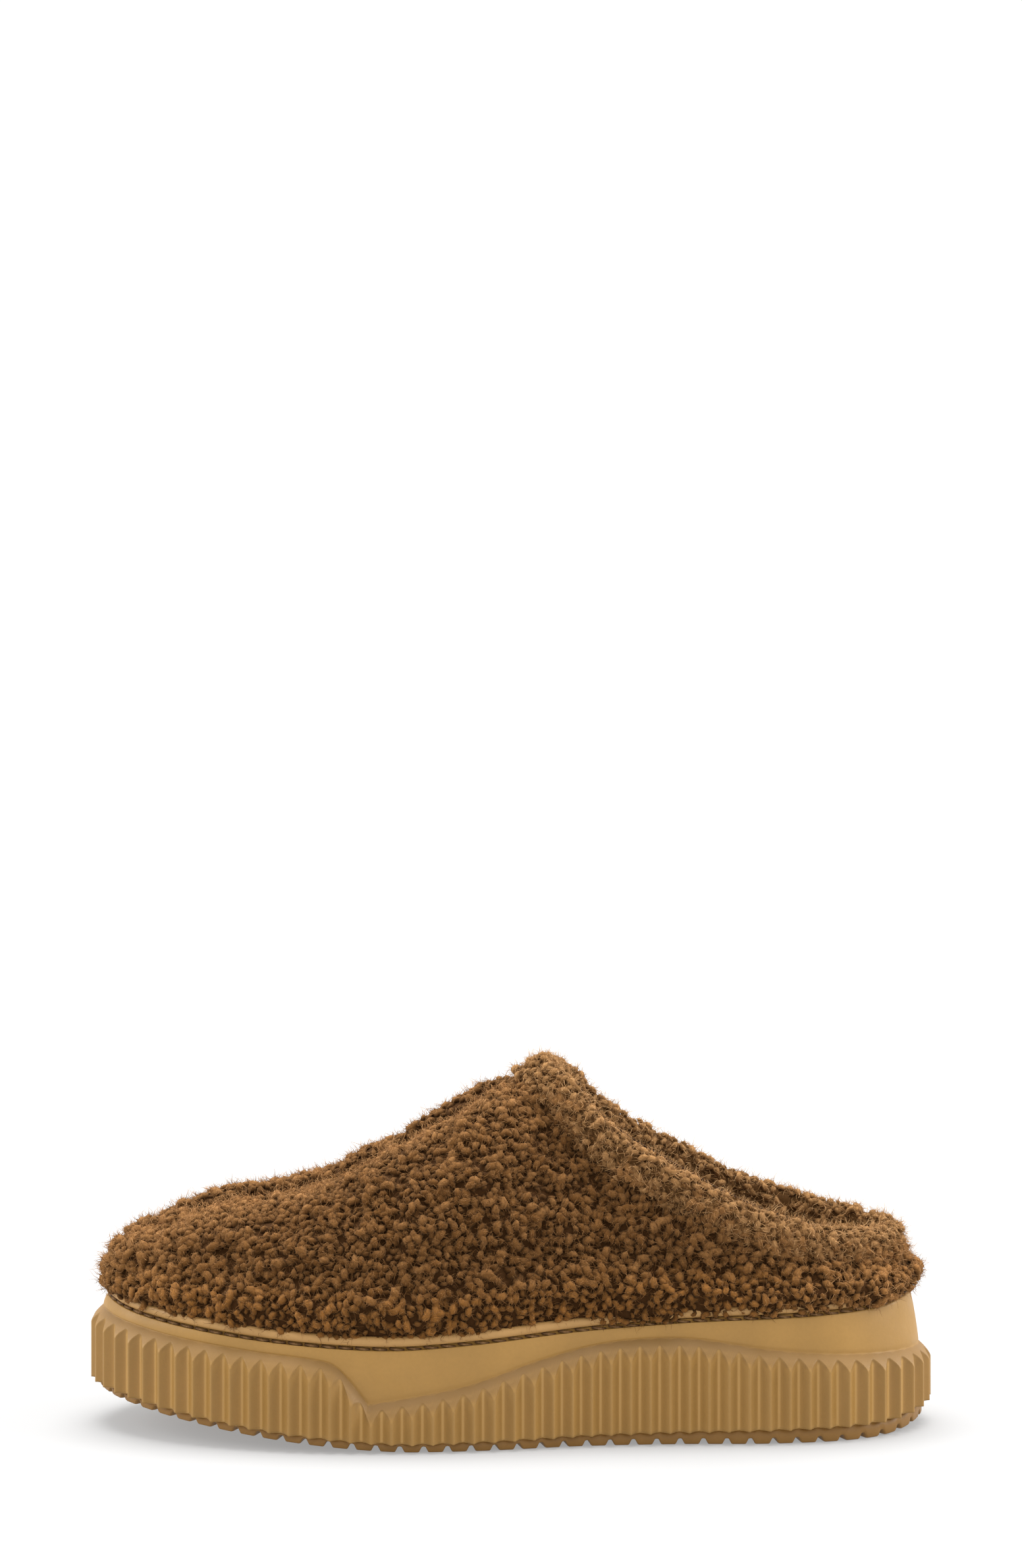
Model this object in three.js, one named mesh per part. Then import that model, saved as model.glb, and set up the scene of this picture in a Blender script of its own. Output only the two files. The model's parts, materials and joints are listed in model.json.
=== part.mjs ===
// A left house slipper of the clog kind: a ribbed rubber cupsole, a curly fleece upper with a
// centre front seam, and a wide mouth behind the throat.
// Millimetres. +X points to the heel, so the toe is at -X. -Y is the outer side. Z is up from the ground.
import * as THREE from "three";

// ---- Driving dimensions: sole ----
const RIB_PITCH = 6.2;
const RIB_DEPTH = 2.4;
const RIB_STAND_OUT = 4.2; // crests of the ribs beyond the smooth panel
const FLARE_HEIGHT = 7.3; // height over which the shelf flares from panel to crest
const VALLEY_DROP = 1.6; // valleys between ribs start this far under the panel's edge
const RIB_FOOT_LIFT = 0.5; // valleys end this much above the crests
const WALL = 4; // cup wall thickness
const FLOOR = 3; // cup floor thickness
const STITCH_STEP = 2.6; // height of the step that the sidewall stitch lies in
const STITCH_STEP_DEPTH = 1.7;
const STITCH_RADIUS = 0.55;
const LIP_RADIUS = 1.6;
const TREAD_PITCH = 7.3;
const TREAD_NOTCH = 1.8;
const TREAD_NOTCH_DEPTH = 9;
const TREAD_STAND_OUT = 1.2; // tread edge beyond the smooth panel
const TOE_SPRING = 12;
const TOE_SPRING_START = -30;
const TOE_SPRING_RUN = 102;
const HEEL_LIFT = 3;
const HEEL_LIFT_START = 112;
const HEEL_LIFT_RUN = 20;

// ---- Driving dimensions: layers inside the cup ----
const GAP = 0.3; // between neighbouring pieces
const BOARD_BELOW_TOP = 16; // top of the midsole under the cup's top edge
const BOARD = 2;
const FOOTBED = 5;
const COVER = 2.2;

const LAYER_STEPS = 80; // points round each flat layer
const CORD_STEPS = 90; // points along each cord that runs round the sole

// ---- Driving dimensions: upper ----
const FLEECE = 5;
const FLANGE = 1.6; // the fleece is skived down to this inside the cup
const STIFFENER = 0.9;
const LINING = 1.6;
const SEAM_HALF_GAP = 0.5;
const THROAT = 0.48; // where the seam ends, as a part of the way from toe to heel
const MOUTH_START = 0.01; // the collar's roll turns this far behind the throat
const MOUTH_END = 0.995; // and this near the heel seam
const ROLL_HALF_WIDTH = 4.2;
const ROLL_HALF_HEIGHT = 3;
const THREAD_RADIUS = 0.32;

// Smooth panel outline seen from above, from the toe tip along the outer side to the heel and back.
const OUTLINE = [
  [-132, 0], [-126.5, -14.5], [-113, -27.5], [-93, -38.5], [-67, -46], [-38, -48], [-9, -45.5],
  [22, -39], [52, -36.3], [82, -35.5], [107, -30], [125, -17],
  [132, 0], [126, 17], [108, 29.5], [82, 34.5], [52, 33], [22, 33], [-9, 38], [-38, 44.5],
  [-67, 48], [-93, 44.5], [-113, 35], [-126.5, 19.5],
];
const HEEL_KNOT = 12; // the outline's knot at the back of the heel

const outline = new THREE.CatmullRomCurve3(
  OUTLINE.map(([x, y]) => new THREE.Vector3(x, y, 0)), true, "centripetal");
outline.arcLengthDivisions = OUTLINE.length * 50;
const outlineLengths = outline.getLengths();
const perimeter = outlineLengths[outlineLengths.length - 1];
const HEEL_U = outlineLengths[HEEL_KNOT * 50] / perimeter;

// A smooth curve z(x) through [x, z] knots, level past both ends.
function profile(knots) {
  const last = knots.length - 1;
  const slopes = knots.map((knot, i) => {
    const before = knots[Math.max(i - 1, 0)];
    const after = knots[Math.min(i + 1, last)];
    return (after[1] - before[1]) / (after[0] - before[0]);
  });
  return (x) => {
    const held = THREE.MathUtils.clamp(x, knots[0][0], knots[last][0]);
    const i = Math.min(knots.findLastIndex((knot) => knot[0] <= held), last - 1);
    const width = knots[i + 1][0] - knots[i][0];
    const t = (held - knots[i][0]) / width;
    const rise = knots[i + 1][1] - knots[i][1];
    const a = slopes[i] * width - rise;
    const b = rise - slopes[i + 1] * width;
    return knots[i][1] + rise * t + t * (1 - t) * (a * (1 - t) + b * t);
  };
}

function ground(x) {
  const toe = Math.max(0, (TOE_SPRING_START - x) / TOE_SPRING_RUN);
  const heel = Math.max(0, (x - HEEL_LIFT_START) / HEEL_LIFT_RUN);
  return TOE_SPRING * toe ** 1.5 + HEEL_LIFT * heel ** 2;
}

const treadHeight = profile([[-132, 2.6], [-60, 2.7], [-20, 2.9], [40, 3.9], [90, 4.7], [131, 5]]);
const cupTop = profile([
  [-132, 42], [-120, 39.2], [-100, 36.6], [-70, 33.8], [-38, 32.2], [-12, 33.6],
  [20, 36.4], [60, 39], [100, 40.4], [120, 41.6], [132, 43.6],
]);
const edgeFront = profile([[-132, 35.6], [-106, 33], [-81, 30.4], [-57, 27.8], [-52, 24.6], [-44, 14.8]]);
const edgeBack = profile([
  [-44, 14.8], [-15, 19.9], [8, 27], [24, 31], [39, 33], [57, 32.9], [81, 29.4], [107, 27], [131, 25.8],
]);

const EDGE_CORNER = -44; // the panel's lowest point, where its edge turns sharply

function panelEdge(x) {
  return x < EDGE_CORNER ? edgeFront(x) : edgeBack(x);
}

function ribFoot(x) {
  return ground(x) + treadHeight(x);
}

function midsoleTop(x) {
  return cupTop(x) - BOARD_BELOW_TOP;
}

// The point at part u of the way round the outline, moved outwards, at a height that z(x) gives.
function around(u, outwards, z) {
  const place = outline.getPointAt(u);
  const along = outline.getTangentAt(u);
  const height = z(place.x);
  return new THREE.Vector3(place.x + along.y * outwards, place.y - along.x * outwards, height);
}

function ring(count, outwards, z) {
  return Array.from({ length: count }, (_, i) => around(i / count, outwards, z));
}

// A closed body through rings of points. Its two ends are capped across, or joined when it is a loop.
function loft(rings, isLoop = false) {
  const count = rings[0].length;
  const faces = [];
  const bands = isLoop ? rings.length : rings.length - 1;
  for (let r = 0; r < bands; r++) {
    const low = r * count;
    const high = ((r + 1) % rings.length) * count;
    for (let i = 0; i < count; i++) {
      const next = (i + 1) % count;
      faces.push(low + i, low + next, high + next, low + i, high + next, high + i);
    }
  }
  if (!isLoop) {
    addCap(faces, 0, count, true);
    addCap(faces, (rings.length - 1) * count, count, false);
  }
  const geometry = new THREE.BufferGeometry().setFromPoints(rings.flat());
  geometry.setIndex(faces);
  if (signedVolume(geometry) < 0) {
    turnInsideOut(geometry);
  }
  geometry.computeVertexNormals();
  return geometry;
}

// Closes a ring with a strip that runs across it, from point i to point count - i.
function addCap(faces, start, count, isFirst) {
  for (let i = 0; i < (count - 1) / 2; i++) {
    const a = start + i;
    const b = start + i + 1;
    const c = start + ((count - i - 1) % count);
    const d = start + ((count - i) % count);
    if (b !== c) {
      faces.push(...(isFirst ? [a, c, b] : [a, b, c]));
    }
    if (i > 0) {
      faces.push(...(isFirst ? [a, d, c] : [a, c, d]));
    }
  }
}

function signedVolume(geometry) {
  const points = geometry.getAttribute("position");
  const index = geometry.getIndex();
  const [a, b, c] = [0, 1, 2].map(() => new THREE.Vector3());
  let volume = 0;
  for (let i = 0; i < index.count; i += 3) {
    a.fromBufferAttribute(points, index.getX(i));
    b.fromBufferAttribute(points, index.getX(i + 1));
    c.fromBufferAttribute(points, index.getX(i + 2));
    volume += a.dot(b.cross(c)) / 6;
  }
  return volume;
}

function turnInsideOut(geometry) {
  const index = geometry.getIndex().array;
  for (let i = 0; i < index.length; i += 3) {
    [index[i + 1], index[i + 2]] = [index[i + 2], index[i + 1]];
  }
}

// ---- Finishes ----
function finish(color, roughness, metalness = 0) {
  return new THREE.MeshStandardMaterial({ color, roughness, metalness });
}

const rubber = finish(0xa0783e, 0.55);
const lipRubber = finish(0xac864b, 0.5);
const treadRubber = finish(0x7d5527, 0.6);
const fleece = finish(0x6e5032, 0.95);
const liningCloth = finish(0x3a2616, 0.95);
const foam = finish(0xd8d0c0, 0.9);
const board = finish(0xb59a72, 0.85);
const stiffener = finish(0xe2ddd0, 0.7);
const thread = finish(0x5a4020, 0.7);

const slipper = new THREE.Group();

function add(name, geometry, material) {
  const mesh = new THREE.Mesh(geometry, material);
  mesh.name = name;
  slipper.add(mesh);
}

// ---- Sole ----
// A plate whose edge is cut into lugs by notches that run in from its rim.
function outsoleTread() {
  const lugs = Math.round(perimeter / TREAD_PITCH);
  const landPart = [0, 0.56, 0.68, 0.88]; // start of the lug's flat, its end, and the notch between
  const notched = [false, false, true, true];
  const steps = lugs * landPart.length;
  const place = (i) => (Math.floor(i / 4) + landPart[i % 4]) / lugs;
  const plate = (outwards, z) => Array.from({ length: steps }, (_, i) => around(place(i), outwards, z));
  const rim = plate(TREAD_STAND_OUT, ground);
  rim.forEach((point, i) => {
    point.z += notched[i % 4] ? TREAD_NOTCH : 0;
  });
  return loft([
    plate(TREAD_STAND_OUT - TREAD_NOTCH_DEPTH, ground),
    rim,
    plate(TREAD_STAND_OUT, (x) => ribFoot(x) - GAP),
  ]);
}

// One ring of the ribbed wall: even points lie on crests and odd points in valleys.
function ribRing(crestOut, crestZ, valleyOut, valleyZ) {
  const count = 2 * Math.round(perimeter / RIB_PITCH);
  return Array.from({ length: count }, (_, i) =>
    i % 2 ? around(i / count, valleyOut, valleyZ) : around(i / count, crestOut, crestZ));
}

function ribbedCupsole() {
  const plain = (outwards, z) => ribRing(outwards, z, outwards, z);
  const flareFoot = (x) => Math.max(panelEdge(x) - FLARE_HEIGHT, ribFoot(x) + 2);
  const flareTop = (x) => panelEdge(x) - VALLEY_DROP;
  const valleyOut = RIB_STAND_OUT - RIB_DEPTH;
  return loft([
    plain(-2, ribFoot),
    ribRing(RIB_STAND_OUT, ribFoot, valleyOut, (x) => ribFoot(x) + RIB_FOOT_LIFT),
    ribRing(RIB_STAND_OUT, flareFoot, valleyOut, flareFoot),
    plain(valleyOut, flareTop),
    plain(0, panelEdge),
    plain(0, (x) => cupTop(x) - STITCH_STEP),
    plain(-STITCH_STEP_DEPTH, (x) => cupTop(x) - STITCH_STEP),
    plain(-STITCH_STEP_DEPTH, cupTop),
    plain(-WALL, cupTop),
    plain(-WALL, (x) => ribFoot(x) + FLOOR),
  ]);
}

// A cord of round section that runs once round the outline.
function cordAround(steps, sides, radius, outwards, z) {
  const rings = Array.from({ length: steps }, (_, k) =>
    Array.from({ length: sides }, (_, i) => {
      const turn = (2 * Math.PI * i) / sides;
      return around(k / steps, outwards + radius * Math.cos(turn), (x) => z(x) + radius * Math.sin(turn));
    }));
  return loft(rings, true);
}

// A flat layer that fills the outline from one height to another.
function layer(outwards, bottom, top) {
  return loft([ring(LAYER_STEPS, outwards, bottom), ring(LAYER_STEPS, outwards, top)]);
}

const FLANGE_OUT = -WALL - GAP;
const LINING_OUT = FLANGE_OUT - FLANGE - GAP;
const FOOTBED_OUT = LINING_OUT - LINING - 3 * GAP;
const boardTop = (x) => midsoleTop(x) + GAP + BOARD;
const footbedTop = (x) => boardTop(x) + GAP + FOOTBED;
const coverTop = (x) => footbedTop(x) + GAP + COVER;
const flangeFoot = (x) => boardTop(x) + GAP;

add("outsole_tread", outsoleTread(), treadRubber);
add("ribbed_cupsole", ribbedCupsole(), rubber);
add("sidewall_stitch", cordAround(CORD_STEPS, 5, STITCH_RADIUS, -STITCH_STEP_DEPTH + GAP + STITCH_RADIUS,
  (x) => cupTop(x) - STITCH_STEP + GAP + STITCH_RADIUS), thread);
add("rand_lip", cordAround(CORD_STEPS, 6, LIP_RADIUS, -LIP_RADIUS + 1, (x) => cupTop(x) + GAP + LIP_RADIUS),
  lipRubber);
add("midsole_core", layer(FLANGE_OUT, (x) => ribFoot(x) + FLOOR + GAP, midsoleTop), foam);
add("insole_board", layer(FLANGE_OUT, (x) => midsoleTop(x) + GAP, boardTop), board);
add("footbed_foam", layer(FOOTBED_OUT, flangeFoot, footbedTop), foam);
add("footbed_cover", layer(FOOTBED_OUT, (x) => footbedTop(x) + GAP, coverTop), liningCloth);

// ---- Upper: one skin from the cup's top edge to the seam or the collar, on each side ----
// Front seam, from the toe to the throat: [part of the way from toe to heel, x, z].
const SEAM_LINE = [
  [0, -111, 69], [0.07, -102, 73.5], [0.16, -83, 77.5], [0.25, -60, 82],
  [0.34, -34, 95], [0.42, -11, 107], [0.48, 7, 114.5],
];
const seamX = profile(SEAM_LINE.map((knot) => [knot[0], knot[1]]));
const seamZ = profile(SEAM_LINE.map((knot) => [knot[0], knot[2]]));
// The mouth is an ellipse seen from above, and its edge falls towards the heel.
const MOUTH_MIDDLE = 67;
const MOUTH_HALF_LENGTH = 60;
const MOUTH_HALF_WIDTH = 32;
const collarZ = profile([
  [7, 114.5], [17, 108], [25, 99.5], [37, 90.5], [52, 82.5], [72, 72.5], [87, 67], [99, 64], [115, 61.5],
  [127, 60.5],
]);

// The top of the upper at part s of the way from toe to heel: the seam, then the mouth's edge.
function topLine(side, s) {
  if (s < THROAT) {
    return new THREE.Vector3(seamX(s), 0, seamZ(s));
  }
  const turn = (Math.PI * (s - THROAT)) / (1 - THROAT);
  const x = MOUTH_MIDDLE - MOUTH_HALF_LENGTH * Math.cos(turn);
  return new THREE.Vector3(x, side * MOUTH_HALF_WIDTH * Math.sin(turn), collarZ(x));
}

const UPPER_FOOT_OUT = 0.2;
const upperFoot = (x) => cupTop(x) + GAP + 2 * LIP_RADIUS + GAP;

// The part of the way round the outline that lies at s on one side.
function outlineAt(side, s) {
  return side < 0 ? s * HEEL_U : (1 - s * (1 - HEEL_U)) % 1;
}

// A point of the upper's outer skin. side is -1 on the outer side and 1 on the inner side, s runs from
// the toe seam (0) to the heel seam (1), and t from the cup (0) to the seam or the collar (1).
function skin(side, s, t) {
  const foot = around(outlineAt(side, s), UPPER_FOOT_OUT, upperFoot);
  const top = topLine(side, s);
  const height = top.z - foot.z;
  const spread = foot.clone().sub(top).setZ(0);
  const collar = THREE.MathUtils.smoothstep(s, THROAT - 0.04, THROAT + 0.14);
  const outwards = around(outlineAt(side, s), UPPER_FOOT_OUT + 1, upperFoot).sub(foot);
  const lowHandle = foot.clone().addScaledVector(outwards, 4).setZ(foot.z + 0.5 * height);
  const level = top.clone().addScaledVector(spread, 0.62).setZ(top.z - 0.04 * height);
  const upright = top.clone().addScaledVector(outwards, 3).setZ(top.z - 0.35 * height);
  const highHandle = level.lerp(upright, collar);
  return new THREE.CubicBezierCurve3(foot, lowHandle, highHandle, top).getPoint(t);
}

// The same point, sunk below the skin along its normal.
function under(side, s, t, depth) {
  const step = 0.004;
  const sa = Math.max(s - step, 0.001);
  const sb = Math.min(s + step, 0.999);
  const ta = Math.max(t - step, 0);
  const tb = Math.min(t + step, 1);
  const alongS = skin(side, sb, t).sub(skin(side, sa, t));
  const alongT = skin(side, s, tb).sub(skin(side, s, ta));
  const normal = alongS.cross(alongT).normalize().multiplyScalar(side);
  if (s < 0.001 || s > 0.999) {
    normal.setY(0).normalize();
  }
  return skin(side, s, t).addScaledVector(normal, depth);
}

// Keeps a point on its own side of the middle, clear of the seam.
function onSide(point, side) {
  point.y = side * Math.max(side * point.y, SEAM_HALF_GAP);
  return point;
}

const S_STEPS = 26;
const T_STEPS = 7;
const WALL_TOP = 0.985; // the walls end this far up the skin, short of the seam or the collar's roll

// One wall section of the upper: up its outer face and down its inner face, with an optional flange
// that reaches down inside the cup.
function wallSection(side, s, outerDepth, innerDepth, flangeOut, flangeWall) {
  const levels = Array.from({ length: T_STEPS + 1 }, (_, i) => (WALL_TOP * i) / T_STEPS);
  const u = outlineAt(side, s);
  const flangeTop = (x) => upperFoot(x) - 0.1;
  const outer = levels.map((t) => under(side, s, t, outerDepth));
  const inner = levels.map((t) => under(side, s, t, innerDepth)).reverse();
  const section = [
    around(u, flangeOut, flangeFoot),
    around(u, flangeOut, flangeTop),
    ...outer,
    ...inner,
    around(u, flangeOut - flangeWall, flangeTop),
    around(u, flangeOut - flangeWall, flangeFoot),
  ];
  return section.map((point) => onSide(point, side));
}

function quarter(side, outerDepth, innerDepth, flangeOut, flangeWall) {
  const rings = Array.from({ length: S_STEPS + 1 }, (_, k) =>
    wallSection(side, k / S_STEPS, outerDepth, innerDepth, flangeOut, flangeWall));
  return loft(rings);
}

const STIFFENER_DEPTH = FLEECE + 2 * GAP;
const LINING_DEPTH = STIFFENER_DEPTH + STIFFENER + 3 * GAP;
add("lateral_quarter", quarter(-1, 0, FLEECE, FLANGE_OUT, FLANGE), fleece);
add("medial_quarter", quarter(1, 0, FLEECE, FLANGE_OUT, FLANGE), fleece);
add("lateral_lining", quarter(-1, LINING_DEPTH, LINING_DEPTH + LINING, LINING_OUT, LINING), liningCloth);
add("medial_lining", quarter(1, LINING_DEPTH, LINING_DEPTH + LINING, LINING_OUT, LINING), liningCloth);

// A bent plate between fleece and lining, from one side of the slipper round to the other.
function stiffenerBand(sFrom, sTo, tLow, tHigh) {
  const half = 10;
  const stops = Array.from({ length: half + 1 }, (_, i) => THREE.MathUtils.lerp(sFrom, sTo, i / half));
  const path = [...stops.map((s) => [-1, s]), ...stops.slice(0, -1).reverse().map((s) => [1, s])];
  const levels = [0, 1, 2, 3].map((i) => THREE.MathUtils.lerp(tLow, tHigh, i / 3));
  return loft(path.map(([side, s]) => [
    ...levels.map((t) => under(side, s, t, STIFFENER_DEPTH)),
    ...levels.map((t) => under(side, s, t, STIFFENER_DEPTH + STIFFENER)).reverse(),
  ]));
}

add("toe_puff", stiffenerBand(0.17, 0, 0.12, 0.62), stiffener);
add("heel_counter", stiffenerBand(0.8, 1, 0.12, 0.85), stiffener);

// A strip under the front seam that reaches a few stitches to each side of it.
function frontSeamTape() {
  const count = 18;
  const edge = 0.93; // how far up the skin the tape's edges lie
  return loft(Array.from({ length: count + 1 }, (_, k) => {
    const s = THREE.MathUtils.lerp(0.05, THROAT - 0.03, k / count);
    const face = (depth) => [under(-1, s, edge, depth), under(1, s, edge, depth)];
    return [...face(STIFFENER_DEPTH), ...face(STIFFENER_DEPTH + STIFFENER).reverse()];
  }));
}

// A closed cord of round or oval section along a path. Each stop of the path has a place and the two
// directions that the section's half width and half height point in.
function cordAlong(path, isLoop, halfWidth, halfHeight, sides) {
  return loft(path.map(({ place, across, upwards }) =>
    Array.from({ length: sides }, (_, i) => {
      const turn = (2 * Math.PI * i) / sides;
      return place.clone()
        .addScaledVector(across, halfWidth * Math.cos(turn))
        .addScaledVector(upwards, halfHeight * Math.sin(turn));
    })), isLoop);
}

// A stop for a cord on the skin's top edge, sunk to a depth and then carried on past the edge.
function edgeStop(side, s, depth, past) {
  const place = under(side, s, 1, depth);
  const across = place.clone().sub(under(side, s, 1, depth + 1)).normalize();
  const upwards = place.clone().sub(under(side, s, 0.97, depth)).normalize();
  return { place: place.addScaledVector(upwards, past), across, upwards };
}

// The mouth's edge from the throat down the outer side, round the heel and back up the inner side.
function mouthPath(steps, depth, past) {
  const stopAt = (part) => THREE.MathUtils.lerp(THROAT + MOUTH_START, MOUTH_END, part);
  const stops = Array.from({ length: steps + 1 }, (_, i) => stopAt(i / steps));
  return [...stops.map((s) => edgeStop(-1, s, depth, past)),
    ...stops.reverse().map((s) => edgeStop(1, s, depth, past))];
}

// A thread in the gap between the two quarters, in the middle plane.
function seamPath(steps, placeAt) {
  return Array.from({ length: steps + 1 }, (_, k) => ({
    place: placeAt(k / steps).setY(0),
    across: new THREE.Vector3(0, 1, 0),
    upwards: placeAt(k / steps).sub(placeAt(k / steps + 0.01)).setY(0).normalize()
      .cross(new THREE.Vector3(0, 1, 0)),
  }));
}

const ROLL_DEPTH = (LINING_DEPTH + LINING) / 2;
const ROLL_STEPS = 26;
const ROLL_SIDES = 8;
const THREAD_SIDES = 5;
const rollPath = mouthPath(ROLL_STEPS, ROLL_DEPTH, ROLL_HALF_HEIGHT + GAP);
const collarThreadPath = mouthPath(ROLL_STEPS, ROLL_DEPTH + ROLL_HALF_WIDTH, THREAD_RADIUS + GAP);
const SEAM_THREAD_DEPTH = 3;
const frontPart = (part) => THREE.MathUtils.lerp(0.01, THROAT - 0.03, part);
const backPart = (part) => THREE.MathUtils.lerp(0.06, 0.9, part);
const frontThreadAt = (part) => under(-1, frontPart(part), 1, SEAM_THREAD_DEPTH);
const backThreadAt = (part) => under(-1, 1, backPart(part), SEAM_THREAD_DEPTH);
const seamThread = (steps, placeAt) =>
  cordAlong(seamPath(steps, placeAt), false, THREAD_RADIUS, THREAD_RADIUS, THREAD_SIDES);

add("front_seam_tape", frontSeamTape(), liningCloth);
add("front_seam_thread", seamThread(30, frontThreadAt), thread);
add("back_seam_thread", seamThread(8, backThreadAt), thread);
add("collar_roll", cordAlong(rollPath, true, ROLL_HALF_WIDTH, ROLL_HALF_HEIGHT, ROLL_SIDES), fleece);
add("collar_thread", cordAlong(collarThreadPath, true, THREAD_RADIUS, THREAD_RADIUS, THREAD_SIDES), thread);

export default slipper;
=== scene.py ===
"""A left clog-style house slipper: ribbed rubber cupsole, curly fleece upper, rolled open collar.

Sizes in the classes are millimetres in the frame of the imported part: +X to the heel, -Y the outer
side, Z up from the ground. Meshes are in metres.
"""

from __future__ import annotations

import json
import logging
import math
from dataclasses import dataclass, field
from enum import Enum
from typing import Callable, Sequence

import bmesh
import bpy
import numpy as np
from mathutils import Matrix, Vector, noise

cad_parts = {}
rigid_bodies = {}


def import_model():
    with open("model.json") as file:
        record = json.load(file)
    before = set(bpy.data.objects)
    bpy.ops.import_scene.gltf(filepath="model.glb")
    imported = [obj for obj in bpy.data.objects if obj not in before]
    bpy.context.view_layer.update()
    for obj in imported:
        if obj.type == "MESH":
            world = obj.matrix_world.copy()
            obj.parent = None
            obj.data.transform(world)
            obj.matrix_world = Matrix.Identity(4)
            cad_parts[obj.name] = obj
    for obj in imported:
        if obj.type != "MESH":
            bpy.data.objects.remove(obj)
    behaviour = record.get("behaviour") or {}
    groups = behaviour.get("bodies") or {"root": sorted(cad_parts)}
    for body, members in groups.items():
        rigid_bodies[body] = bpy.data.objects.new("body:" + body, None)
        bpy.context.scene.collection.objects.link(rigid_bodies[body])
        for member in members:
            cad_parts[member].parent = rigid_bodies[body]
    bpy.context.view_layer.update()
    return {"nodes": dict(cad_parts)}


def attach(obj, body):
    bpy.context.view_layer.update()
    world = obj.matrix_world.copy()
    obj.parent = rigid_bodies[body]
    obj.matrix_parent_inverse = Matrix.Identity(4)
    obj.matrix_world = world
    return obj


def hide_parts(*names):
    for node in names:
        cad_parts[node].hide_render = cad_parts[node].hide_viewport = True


MM = 0.001
BODY = "root"
log = logging.getLogger("slipper")

Knots = Sequence[tuple[float, float]]
Place = Callable[[np.ndarray, np.ndarray], np.ndarray]


class Side(Enum):
    """The two sides of the upper, as the sign of Y."""

    LATERAL = -1
    MEDIAL = 1


# ---- Curves ----


class Profile:
    """A smooth height z(x) through knots, level past both ends."""

    def __init__(self, knots: Knots) -> None:
        """Works out the slope at each knot.

        Args:
            knots: Pairs of x and z, with x rising.
        """
        self.x = np.array([knot[0] for knot in knots])
        self.z = np.array([knot[1] for knot in knots])
        self.slope = np.empty(len(knots))
        self.slope[1:-1] = (self.z[2:] - self.z[:-2]) / (self.x[2:] - self.x[:-2])
        self.slope[0] = (self.z[1] - self.z[0]) / (self.x[1] - self.x[0])
        self.slope[-1] = (self.z[-1] - self.z[-2]) / (self.x[-1] - self.x[-2])

    def __call__(self, x: np.ndarray | float) -> np.ndarray:
        """Returns z at each x."""
        held = np.clip(x, self.x[0], self.x[-1])
        i = np.clip(np.searchsorted(self.x, held, side="right") - 1, 0, len(self.x) - 2)
        width = self.x[i + 1] - self.x[i]
        t = (held - self.x[i]) / width
        rise = self.z[i + 1] - self.z[i]
        a = self.slope[i] * width - rise
        b = rise - self.slope[i + 1] * width
        return self.z[i] + rise * t + t * (1 - t) * (a * (1 - t) + b * t)


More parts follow.
